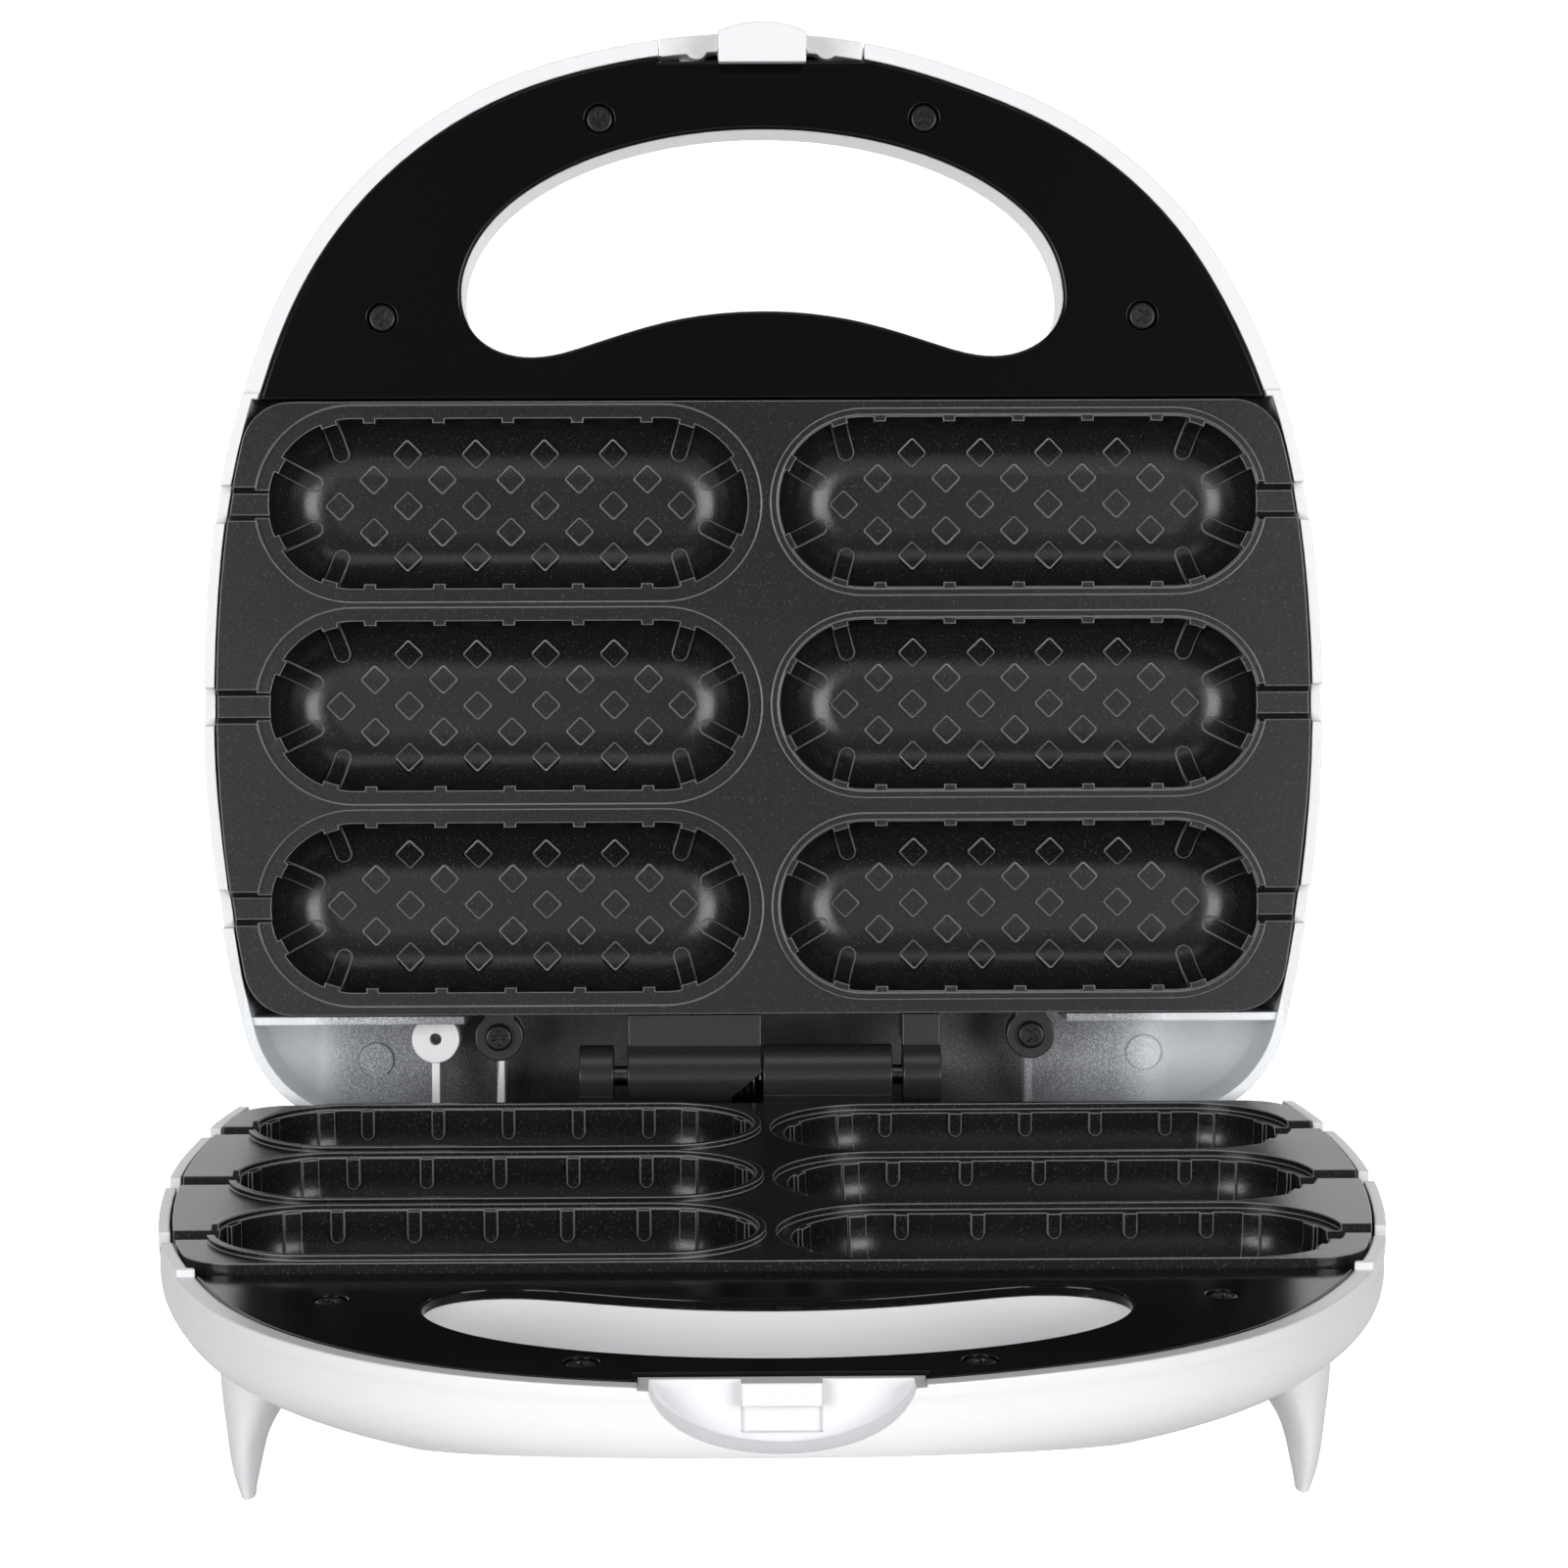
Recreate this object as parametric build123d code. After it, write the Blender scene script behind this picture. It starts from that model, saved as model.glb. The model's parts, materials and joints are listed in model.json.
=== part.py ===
from build123d import *
import math
import os

# A countertop corn dog maker: a base and a hinged lid, each with a six-cavity plate.
# Each half is drawn closed, with the parting plane at z = 0 and the hinge axis at y = 0.
# Depths from the hinge run forward, so a depth d is drawn at y = -d.
# The base half lies below the parting plane. The lid half is the same form turned upwards.
# Lengths are millimetres and angles are degrees.

# Place of the whole appliance
hinge_y = 78.2
plane_height = 41.0
hinge_rise = 2.7
open_angle = 98.0
overrun = 30.0
wide = 150.0
thick_slab = 180.0

# Outline of a half at its rim, as depth against half-width from the hinge to the handle
barrel_half_width = 112.1
barrel_radius = 275.0
barrel_centre_depth = 74.5
rear_depth = -10.0
rear_straight_half = 80.0
side_depths = (31.0, 53.0, 74.5, 96.0, 118.0)
rear_corner_radius = 25.0
rear_corner_lean = 13.4
arch_right = ((104.0, 137.0), (95.2, 157.2), (85.2, 172.4), (74.0, 183.6))
arch_right_top = ((62.2, 191.8), (43.2, 200.4), (22.0, 206.6))
arch_left = ((104.0, 137.0), (96.2, 157.6), (85.4, 174.4), (70.4, 188.8))
arch_left_top = ((51.8, 199.6), (33.1, 205.4), (20.7, 207.6))
arch_tip_depth = 208.8
offset_samples = 44
opening_angles = (22.5, 45.0, 67.5)

# Shell walls and heights
wall = 2.0
floor_wall = 2.4
handle_wall = 3.1
body_depth = 35.0
base_front_depth = 13.4
base_slope_start = 112.7
lid_body_depth = 36.0
lid_front_depth = 22.0
lid_slope_start = 138.0
slope_end_depth = 209.0
slope_blend = 90.0
edge_round = 11.0
inner_edge_round = 8.8
fine = 0.01
edge_play = 0.02
edge_margin = 3.0

# Bowl of the base: how far each level is drawn in from the rim, and its depth below the parting plane
bowl_straight = 4.0
bowl_levels = (
    (0.0, 4.0), (0.15, 8.0), (1.0, 12.2), (2.6, 14.5), (6.0, 17.2), (12.0, 20.1),
    (20.0, 22.9), (32.0, 25.9), (50.0, 29.2), (75.0, 32.8), (100.0, 37.2),
)
bowl_raise_inset = 12.0
outline_length = 218.8
side_rim_drop = 0.6
handle_rim_drop = 2.0
handle_start_depth = 137.2
bulkhead_thickness = 1.8
bulkhead_depth = 136.0
rear_clear_top = -9.3
rear_clear_points = ((11.5, -1.5), (7.0, -9.3))
side_notch_width = 7.6
side_notch_depth = 3.2

# Finger opening in the handle
opening_half_width = 60.3
opening_mid_depth = 156.8
opening_front_depth = 189.7
opening_low_points = ((57.6, 148.8), (48.2, 144.4), (34.0, 147.0), (18.0, 151.6))
opening_hump_depth = 153.4
opening_wall_set_back = 0.4
opening_wall = 2.0

# Handle liner
liner_inset = 3.3
liner_thickness = 2.4
liner_rear_depth = 135.6
liner_flat_depth = 203.3
liner_edge_round = 0.5
liner_screw_places = ((32.5, 191.8), (76.2, 152.2))
liner_post_radius = 3.6
counterbore_radius = 2.95
counterbore_depth = 1.6
base_liner_flat_depth = 199.2
base_liner_flat_half = 23.4
liner_screw_tip = 8.0

# Screws
screw_head_radius = 2.75
screw_head_height = 1.3
screw_shank_radius = 1.35
screw_hole_gap = 0.05
screw_hole_spare = 0.2
recess_width = 0.8
recess_length = 3.0
recess_depth = 0.7

# Plate casting
plate_gap = 0.15
plate_thickness = 2.0
plate_inset = 2.5
plate_rear_depth = 12.6
plate_front_depth = 135.3
plate_corner = 10.0
skirt_depth = 8.0
skirt_wall = 2.2
row_depths = (34.0, 74.5, 115.0)
column_offset = 51.1
cavity_half_length = 48.0
cavity_half_width = 17.0
cavity_depth = 15.0
cavity_round = 11.5
cavity_wall = 1.8
relief_height = 0.9
diamond_side = 4.1
diamond_pitch = 13.87
diamond_rows = ((0.0, 6), (5.3, 5), (10.4, 4))
diamond_corner = 0.5
side_ribs = 5
side_rib_width = 2.4
side_rib_reach = 5.8
end_rib_width = 3.2
end_ribs = ((28.0, 9.9), (73.0, 11.0))
band_width = 2.7
band_depth = 1.2
bead_inner = 0.4
bead_width = 1.3
bead_height = 1.0
stick_slot_top = 6.8
stick_slot_floor = 4.2
stick_slot_depth = 2.6
channel_half_width = 5.6
channel_depth = 4.8
boss_radius = 3.5
boss_depth = 12.5
corner_boss = (97.5, 20.5)
mid_boss_depth = 19.2

# Plate screws and their posts in the shell
post_radius = 4.6
post_gap = 0.1
post_bore_radius = 3.9
post_seat_depth = 15.6
plate_screw_tip = 6.6
reflector_screw_tip = 10.0

# Heater and reflector
heater_radius = 3.3
heater_depth = 11.45
heater_end_x = 90.0
heater_bend_centre = 82.1
bead_radius = 4.2
terminal_bead_length = 6.0
tab_width = 6.3
tab_thickness = 0.8
tab_length = 5.0
reflector_depth = 19.3
reflector_thickness = 0.6
reflector_half_width = 71.0
reflector_rear = 20.0
reflector_front = 124.0
reflector_corner = 20.0
reflector_hole_radius = 8.6

# Hinge
barrel_outer_radius = 6.2
pin_radius = 2.0
pin_bore_gap = 0.05
lid_barrel_x = (-27.7, -0.9)
base_barrel_x = (-0.6, 25.3)
base_lug_x = (-37.4, -30.5)
lid_lug_x = (27.4, 35.1)
pin_x = (-37.3, 35.0)
arm_depths = (6.6, 12.4)
arm_rim = 1.2
web_depths = (1.1, 12.4)
base_web = (-3.2, -0.4)
lid_web = (-5.4, -1.2)
bar_depths = (12.0, 17.8)
bar_heights = (12.8, 19.2)
bar_half_length = 57.0
bar_rear_gap = 0.8
ear_place = (54.0, 7.2)
ear_radius = 4.9
ear_web_half = 3.0
hinge_post_radius = 4.2
rib_stem_half = 0.8
rib_stem_rear = -7.6
spring_bore_radius = 4.7
spring_bore_length = 7.2
spring_mean_radius = 3.6
spring_wire_radius = 0.4
spring_turns = 4.5
spring_end_gap = 0.15
barrel_cut = ((0.1, -1.0), (-6.0, 4.2), (-6.0, 7.0), (0.1, 7.0))

# Rear of the lid
lid_bulkhead_inner_x = 60.5
lid_bulkhead_depths = (10.6, 12.2)
lid_bulkhead_rim = 1.4
white_boss_place = (-66.9, 6.8)
white_boss_radius = 4.8
white_boss_bore = 1.2
white_boss_top = 13.0
pad_places = ((-80.3, 1.1), (78.8, 1.9))
pad_radius = 3.6
pad_height = 0.8

# Feet
foot_x = 92.0
foot_front_depth = 137.0
foot_rear_depth = 14.0
foot_levels = (
    (-14.0, 8.8, 14.0, -3.7), (-19.0, 7.2, 13.0, -2.7), (-24.0, 5.4, 11.6, -1.3), (-29.6, 3.6, 9.4, -0.1),
    (-35.0, 2.6, 6.8, 0.3), (-38.6, 1.8, 4.8, 0.3), (-41.0, 1.25, 3.6, 0.1),
)

# Catch recess at the front of the base
recess_half_width = 21.6
recess_height = 12.0
recess_centre = 1.0
recess_wall_depth = 200.8
recess_housing_depth = 198.8
recess_lip_drop = 2.5
recess_housing_half = 24.5
recess_housing_height = 15.2
catch_half_width = 6.5
catch_reach_depth = 203.5
catch_ledge = 6.4
catch_pocket_depth = 200.1

# Latch
latch_half_width = 20.2
latch_gap = 0.4
latch_top_gap = 1.0
latch_thickness = 3.4
latch_height = 17.2
latch_low = 2.4
pocket_back_depth = 200.9
pocket_wall = 1.8
tongue_half_width = 8.8
tongue_depths = (203.9, 209.6)
tongue_tip = -10.6
hook_reach = 201.6
hook_depths = (-10.6, -6.8)
latch_pin_depth = 204.4
latch_pin_height = 12.0
latch_pin_radius = 1.2
latch_pin_overhang = 1.2
latch_lug_radius = 2.9
latch_lug_x = (11.5, 16.5)
latch_spring_mean = 2.2
latch_spring_wire = 0.35
latch_spring_turns = 5.5
latch_spring_half = 4.2
coil_samples = 8
latch_wing_x = 13.0
latch_wing_depth = 205.9
latch_wing_radius = 2.2

# Lamps
lamp_x = 21.5
lamp_depth = 124.0
lens_radius = 3.3
lens_gap = 0.1
lens_flange_radius = 4.6
lens_flange_height = 1.2
lens_stand = 0.8
lens_round = 0.7
lens_hole_top = 7.5
bulb_radius = 2.6
bulb_length = 7.0
lamp_holder_half = (7.2, 5.6)
lamp_holder_height = 2.0

# Electrical parts of the base
gland_x = 62.5
gland_z = -16.6
gland_hole_radius = 4.4
gland_neck_gap = 0.1
gland_flange_radius = 6.0
gland_flange = 1.8
gland_inner_radius = 5.6
gland_inner = 1.8
gland_bore_radius = 3.2
block_size = (20.0, 11.0, 8.0)
block_place = (40.0, 27.0)
block_floor = -29.0
block_screw_radius = 1.4
block_screw_offset = 4.6
thermostat_radius = 8.2
thermostat_height = 8.0
thermostat_tab = (4.8, 0.8, 4.4)
thermostat_tab_offset = 5.2
fuse_radius = 2.1
fuse_length = 14.0
fuse_clip_width = 6.0
fuse_clip_wall = 0.6
lead_radius = 1.1
lead_bend = 6.0
lead_end_gap = 1.4
base_lead_bend = 4.0
base_lead_start = 1.5
base_lead_run = 6.75
base_lead_dive = (74.0, -21.6)
base_lead_pass = (67.0, 64.0, -22.2)
lead_rise = 3.0
rest_gap = 0.1


def at(x, d, z=0.0):
    return Vector(x, -d, z)


def box(x0, x1, d0, d1, z0, z1):
    size = (abs(x1 - x0), abs(d1 - d0), abs(z1 - z0))
    return Pos((x0 + x1) / 2, -(d0 + d1) / 2, (z0 + z1) / 2) * Box(*size)


def post(x, d, z0, z1, r):
    return Pos(x, -d, (z0 + z1) / 2) * Cylinder(r, abs(z1 - z0))


def x_rod(x0, x1, d, z, r):
    return Pos((x0 + x1) / 2, -d, z) * Rot(0, 90, 0) * Cylinder(r, abs(x1 - x0))


def d_rod(x, d0, d1, z, r):
    return Pos(x, -(d0 + d1) / 2, z) * Rot(90, 0, 0) * Cylinder(r, abs(d1 - d0))


def barrel_x(d):
    return barrel_half_width - (d - barrel_centre_depth) ** 2 / (2 * barrel_radius)


# Outline curves
def corner_end():
    lean = math.radians(rear_corner_lean)
    x = rear_straight_half + rear_corner_radius * math.cos(lean)
    return x, rear_depth + rear_corner_radius * (1 - math.sin(lean))


def side_tangents():
    lean = math.radians(rear_corner_lean)
    return [(math.sin(lean), -math.cos(lean), 0), (math.sin(lean), math.cos(lean), 0)]


def outline_spline():
    right = [corner_end()]
    left = [(-x, d) for x, d in right]
    right += [(barrel_x(d), d) for d in side_depths] + list(arch_right) + list(arch_right_top)
    left += [(-barrel_x(d), d) for d in side_depths]
    left += [(-x, d) for x, d in arch_left + arch_left_top]
    points = right + [(0, arch_tip_depth)] + left[::-1]
    return Spline([at(x, d) for x, d in points], tangents=side_tangents())


master_outline = outline_spline()


def outline_face(inset):
    if inset == 0:
        curve = master_outline
    else:
        places = []
        for k in range(offset_samples + 1):
            u = k / offset_samples
            p, t = master_outline @ u, master_outline % u
            places.append(p + Vector(t.Y, -t.X, 0) * inset)
        curve = Spline(places, tangents=side_tangents())
    r, d = rear_corner_radius - inset, rear_depth + rear_corner_radius
    half = math.radians((90 - rear_corner_lean) / 2)
    edges = [curve]
    for side, tip in ((-1, curve @ 1), (1, curve @ 0)):
        mid = at(side * (rear_straight_half + r * math.sin(half)), d - r * math.cos(half))
        edges.append(ThreePointArc(tip, mid, at(side * rear_straight_half, d - r)))
    edges.append(Line(edges[1] @ 1, edges[2] @ 1))
    return make_face(edges)


def opening_face(grow):
    points = [(opening_half_width, opening_mid_depth)]
    for angle in opening_angles:
        x = opening_half_width * math.cos(math.radians(angle))
        rise = (opening_front_depth - opening_mid_depth) * math.sin(math.radians(angle))
        points.append((x, opening_mid_depth + rise))
    points.append((0, opening_front_depth))
    points += [(-x, d) for x, d in points[-2::-1]]
    low = list(opening_low_points)
    points += [(-x, d) for x, d in low] + [(0, opening_hump_depth)] + low[::-1]
    curve = Spline([at(x, d) for x, d in points], periodic=True)
    if grow:
        places = []
        for k in range(offset_samples):
            u = k / offset_samples
            p, t = curve @ u, curve % u
            places.append(p + Vector(t.Y, -t.X, 0) * grow)
        start = Vector(places[0].X, places[0].Y, 0)
        inside = (start - (curve @ 0)).X
        if inside * grow < 0:
            places = [(curve @ (k / offset_samples)) * 2 - q for k, q in enumerate(places)]
        curve = Spline(places, periodic=True)
    return make_face([curve])


def stadium(half_length, half_width):
    return SlotOverall(2 * half_length, 2 * half_width)


# Outer form of a half, below the parting plane
def bottom_prism(depth, front, start, raise_by):
    slope = math.atan2(depth - front, slope_end_depth - start)
    lift = raise_by / math.cos(slope)
    far = slope_end_depth + overrun
    far_z = -front + overrun * math.tan(slope) + lift
    near_z = -depth + raise_by
    bend_d = start + (lift - raise_by) / math.tan(slope)
    path = FilletPolyline((overrun, near_z), (-bend_d, near_z), (-far, far_z), radius=slope_blend)
    close = Polyline(path @ 1, (-far, overrun + overrun), (overrun, overrun + overrun), path @ 0)
    face = make_face([path, close])
    return extrude(Plane.YZ * face, barrel_half_width + overrun, both=True)


def bottom_edges(solid):
    found = []
    for edge in solid.edges():
        c = edge.bounding_box()
        flat = c.size.Y < fine and c.size.Z < fine
        if c.min.Z < -edge_margin and c.max.Z < -edge_margin and not flat and edge.geom_type != GeomType.LINE:
            found.append(edge)
        elif c.min.Z < -edge_margin and c.size.Z < fine and c.min.Y > -rear_depth - edge_margin:
            if c.size.X > overrun:
                found.append(edge)
    return found


# The lid's outer form is a slab with rounded edges
def lid_body(inset, raise_by, rounding):
    block = extrude(outline_face(inset), -lid_body_depth - overrun)
    block = block & bottom_prism(lid_body_depth, lid_front_depth, lid_slope_start, raise_by)
    return fillet(bottom_edges(block), rounding)


# The base's outer form is a bowl: the same outline, drawn in more and more towards its floor
def bowl_section(inset, drawn_in, z):
    wide_scale = 1 - drawn_in / barrel_half_width
    long_scale = 1 - drawn_in / outline_length
    rear = -(rear_depth + inset)
    face = scale(outline_face(inset), by=(wide_scale, long_scale, 1))
    return Pos(0, rear * (1 - long_scale), z) * face


def base_body(inset, raise_by, rounding):
    block = extrude(outline_face(inset), -bowl_straight)
    sections = []
    for drawn_in, depth in bowl_levels:
        lift = raise_by * min(1, drawn_in / bowl_raise_inset)
        sections.append(bowl_section(inset, drawn_in, -depth + lift))
    block += loft(sections)
    block &= bottom_prism(body_depth, base_front_depth, base_slope_start, raise_by)
    rear = rear_depth + inset
    near = box(-wide, wide, rear, slope_end_depth + overrun, -body_depth + raise_by, overrun)
    low = [e for e in near.edges() if e.center().Y > -rear - fine and e.center().Z < -edge_margin]
    low = [e for e in low if e.bounding_box().size.X > wide]
    return block & fillet(low, rounding)


# Feet
def foot(x, d):
    rings = []
    for z, rx, ry, shift in foot_levels:
        rings.append(Pos(x + math.copysign(1, x) * shift, -d, z) * Ellipse(rx, ry))
    return loft(rings)


def feet():
    group = None
    for x in (-foot_x, foot_x):
        for d in (foot_front_depth, foot_rear_depth):
            group = foot(x, d) if group is None else group + foot(x, d)
    return group


def corner_places():
    x, d = corner_boss
    front = 2 * barrel_centre_depth - d
    return [(sx * x, dd) for dd in (d, front) for sx in (-1, 1)]


def liner_places():
    return [(sx * x, d) for x, d in liner_screw_places for sx in (-1, 1)]


def ear_places():
    return [(sx * ear_place[0], ear_place[1]) for sx in (-1, 1)]


liner_top = -handle_rim_drop
liner_under = liner_top - liner_thickness


# Shell of a half, without the features of base or lid
def half_shell(body, depth, with_feet):
    outer = body(0, 0, edge_round)
    form = outer + feet() if with_feet else outer
    inner = body(wall, floor_wall, inner_edge_round)
    handle_inner = body(handle_wall, floor_wall, inner_edge_round)
    body_zone = box(-wide, wide, -overrun, bulkhead_depth, -overrun * 2, overrun)
    far = slope_end_depth + overrun
    near = bulkhead_depth + bulkhead_thickness
    handle_zone = box(-wide, wide, near, far, -overrun * 2, overrun)
    shell = form - (inner & body_zone) - (handle_inner & handle_zone)
    added = extrude(opening_face(opening_wall + opening_wall_set_back), -depth - overrun)
    for x, d in liner_places():
        added += post(x, d, -depth - overrun, 0, liner_post_radius)
    for x, d in ear_places():
        added += post(x, d, -depth - overrun, -bar_heights[1] - rest_gap, hinge_post_radius)
    for x, d in corner_places():
        added += post(x, d, -depth - overrun, -boss_depth - post_gap, post_radius)
    shell += added & outer
    shell -= extrude(opening_face(opening_wall_set_back), -depth - overrun)
    liner_zone = box(-wide, wide, liner_rear_depth - rest_gap, far, liner_under, overrun)
    shell -= extrude(outline_face(liner_inset - rest_gap - rest_gap), liner_under) & liner_zone
    shell -= box(-wide, wide, handle_start_depth, far, -handle_rim_drop, overrun)
    shell -= box(-wide, wide, -overrun, handle_start_depth, -side_rim_drop, overrun)
    hole = screw_shank_radius + screw_hole_gap
    for x, d in liner_places():
        shell -= post(x, d, liner_under - liner_screw_tip - screw_hole_spare, 0, hole)
    for x, d in ear_places():
        shell -= post(x, d, -bar_heights[1] - liner_screw_tip - screw_hole_spare, 0, hole)
    for x, d in corner_places():
        shell -= post(x, d, -depth - overrun, -post_seat_depth, post_bore_radius)
        shell -= post(x, d, -depth - overrun, 0, hole)
    for d in row_depths:
        half = side_notch_width / 2
        shell -= box(-wide, wide, d - half, d + half, -side_notch_depth, overrun)
    return shell


# Catch recess, cut in the front wall of the base
def add_catch(shell):
    outer = base_body(0, 0, edge_round)
    half = recess_housing_half
    far = slope_end_depth + overrun
    housing = box(-half, half, recess_housing_depth, far, liner_under, -recess_housing_height)
    shell += housing & outer
    arc = Plane.XZ * Pos(0, -recess_centre) * Ellipse(recess_half_width, recess_height)
    recess = extrude(Pos(0, -recess_wall_depth, 0) * arc, overrun)
    catch = box(
        -catch_half_width, catch_half_width, recess_wall_depth - rest_gap, catch_reach_depth, 0, -catch_ledge
    )
    pocket = box(
        -catch_half_width, catch_half_width, catch_pocket_depth, recess_wall_depth + rest_gap,
        -catch_ledge, -recess_height + side_rim_drop,
    )
    lip_half = base_liner_flat_half - rest_gap - rest_gap
    lip_start = base_liner_flat_depth + rest_gap + rest_gap
    lip = box(-lip_half, lip_half, lip_start, slope_end_depth + overrun, -handle_rim_drop, -recess_height)
    shell += lip & outer
    shell = shell - recess - pocket
    shell += catch & outer
    far = slope_end_depth + overrun
    return shell - box(-lip_half, lip_half, lip_start, far, -recess_lip_drop, overrun)


def base_shell():
    shell = add_catch(half_shell(base_body, body_depth, True))
    points = [(-overrun, overrun), (-rear_clear_points[0][0], overrun)]
    points += [(-d, z) for d, z in rear_clear_points]
    points += [(overrun, rear_clear_top), (overrun, overrun)]
    face = make_face(Polyline(points[1:] + [points[1]]))
    shell -= extrude(Plane.YZ * face, barrel_half_width + overrun, both=True)
    shell -= d_rod(gland_x, rear_depth - overrun, 0, gland_z, gland_hole_radius)
    x, d = block_place
    half_x, half_d = block_size[0] / 2, block_size[1] / 2
    outer = base_body(0, 0, edge_round)
    rest = box(x - half_x, x + half_x, d - half_d, d + half_d, -body_depth - overrun, block_floor - rest_gap)
    shell += rest & outer
    return shell


def lid_shell():
    shell = half_shell(lid_body, lid_body_depth, False)
    outer = lid_body(0, 0, edge_round)
    added = post(*white_boss_place, -lid_body_depth - overrun, -white_boss_top, white_boss_radius)
    d0, d1 = lid_bulkhead_depths
    for side in (-1, 1):
        inner_x, outer_x = side * lid_bulkhead_inner_x, side * (barrel_half_width + overrun)
        added += box(inner_x, outer_x, d0, d1, -lid_body_depth - overrun, -lid_bulkhead_rim)
    x, d = white_boss_place
    stem = rib_stem_half
    added += box(x - stem, x + stem, rib_stem_rear, d, -lid_body_depth - overrun, -white_boss_top - stem)
    for x, d in ear_places():
        low = -bar_heights[1] - rest_gap - stem
        added += box(x - stem, x + stem, rib_stem_rear, d, -lid_body_depth - overrun, low)
    for x, d in pad_places:
        top = -lid_body_depth + floor_wall + pad_height
        added += post(x, d, -lid_body_depth - overrun, top, pad_radius)
    shell += added & outer
    hole = screw_shank_radius + screw_hole_gap
    for x, d in ear_places():
        shell -= post(x, d, -bar_heights[1] - liner_screw_tip - screw_hole_spare, 0, hole)
    x, d = white_boss_place
    shell -= post(x, d, -white_boss_top - liner_screw_tip, 0, white_boss_bore)
    for x in (-lamp_x, lamp_x):
        low, high = -lid_body_depth - overrun, -lid_body_depth + lens_hole_top
        shell -= post(x, lamp_depth, low, high, lens_radius + lens_gap)
    half = latch_half_width + latch_gap
    far = slope_end_depth + overrun
    wall_x, wall_d = half + pocket_wall, pocket_back_depth - pocket_wall
    top = -latch_height - latch_top_gap
    housing = box(-wall_x, wall_x, wall_d, far, liner_under, top - pocket_wall)
    housing = housing & outer
    shell += housing
    shell -= box(-half, half, pocket_back_depth, far, overrun, top)
    reach = half + latch_pin_overhang
    shell -= x_rod(-reach, reach, latch_pin_depth, -latch_pin_height, latch_pin_radius + screw_hole_gap)
    return shell


# Handle liner, a black plate round the finger opening
def handle_liner(flat_depth, flat_half):
    slab = extrude(outline_face(liner_inset), -liner_thickness)
    far = slope_end_depth + overrun
    slab &= box(-wide, wide, liner_rear_depth, far, overrun, -overrun)
    slab -= box(-flat_half, flat_half, flat_depth, far, overrun, -overrun)
    slab -= extrude(opening_face(0), overrun, both=True)
    top = slab.faces().sort_by(Axis.Z)[-1]
    slab = chamfer(top.edges(), liner_edge_round)
    slab = Pos(0, 0, liner_top) * slab
    for x, d in liner_places():
        slab -= post(x, d, liner_top - counterbore_depth, overrun, counterbore_radius)
        slab -= post(x, d, liner_under - overrun, overrun, screw_shank_radius + screw_hole_gap)
    return slab


# A cross-head screw pointing down, its head's underside at z = 0
def screw(length):
    head = Pos(0, 0, screw_head_height / 2) * Cylinder(screw_head_radius, screw_head_height)
    head = fillet(head.edges().sort_by(Axis.Z)[-1], screw_head_height / 2)
    shank = Pos(0, 0, -length / 2) * Cylinder(screw_shank_radius, length)
    body = head + shank
    for turn in (0, 90):
        slot = Rot(0, 0, turn) * Box(recess_length, recess_width, recess_depth * 2)
        body -= Pos(0, 0, screw_head_height) * slot
    return body


def liner_screws():
    seat = liner_top - counterbore_depth
    length = seat - (liner_under - liner_screw_tip)
    return [Pos(x, -d, seat) * screw(length) for x, d in liner_places()]


def ear_screws():
    seat = -bar_heights[0] + screw_head_height
    length = seat + bar_heights[1] + liner_screw_tip
    return [Pos(x, -d, seat) * screw(length) for x, d in ear_places()]


def plate_screws():
    length = post_seat_depth - plate_screw_tip
    return [Pos(x, -d, -post_seat_depth) * Rot(180, 0, 0) * screw(length) for x, d in corner_places()]


def reflector_screws():
    seat = -reflector_depth - reflector_thickness
    length = -seat - reflector_screw_tip
    return [Pos(0, -d, seat) * Rot(180, 0, 0) * screw(length) for d in row_depths]


# One cavity, centred, as the space that is cut from the plate, with its relief
def cavity_form(inset):
    face = stadium(cavity_half_length - inset, cavity_half_width - inset)
    solid = extrude(face, -cavity_depth + inset)
    low = solid.edges().group_by(Axis.Z)[0]
    solid = fillet(low, cavity_round - inset)
    return solid + extrude(face, overrun)


def diamond(x, d):
    deep = cavity_depth + overrun
    face = RectangleRounded(diamond_side, diamond_side, diamond_corner)
    return Pos(x, -d, -deep) * Rot(0, 0, 45) * extrude(face, deep)


def side_rib(x, side):
    half = side_rib_width / 2
    low = -side_rib_reach + half
    start, width = cavity_half_width / 2, cavity_half_width
    bar = Pos(x, side * (start + width / 2), (low + overrun) / 2) * Box(side_rib_width, width, overrun - low)
    tip = Pos(x, side * (start + width / 2), low) * Rot(90, 0, 0) * Cylinder(half, width)
    return bar + tip


def end_rib(end, turn, inner):
    deep = cavity_depth + overrun
    length = cavity_half_width + relief_height - inner
    bar = Pos(inner + length / 2, 0, -deep / 2) * Box(length, end_rib_width, deep)
    tip = Pos(inner, 0, -deep / 2) * Cylinder(end_rib_width / 2, deep)
    centre = cavity_half_length - cavity_half_width
    return Pos(end * centre, 0, 0) * Rot(0, 0, turn) * (bar + tip)


def relief_prisms():
    prisms = []
    for offset, count in diamond_rows:
        for k in range(count):
            x = (k - (count - 1) / 2) * diamond_pitch
            prisms += [diamond(x, d) for d in sorted({-offset, offset})]
    for k in range(side_ribs):
        x = (k - (side_ribs - 1) / 2) * diamond_pitch
        prisms += [side_rib(x, side) for side in (-1, 1)]
    for end in (-1, 1):
        for angle, inner in end_ribs:
            for side in (-1, 1):
                turn = side * angle if end > 0 else 180 + side * angle
                prisms.append(end_rib(end, turn, inner))
    return prisms


def cavity_cut():
    prisms = Compound(relief_prisms())
    relief = prisms - cavity_form(relief_height)
    return cavity_form(0) - relief


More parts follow.
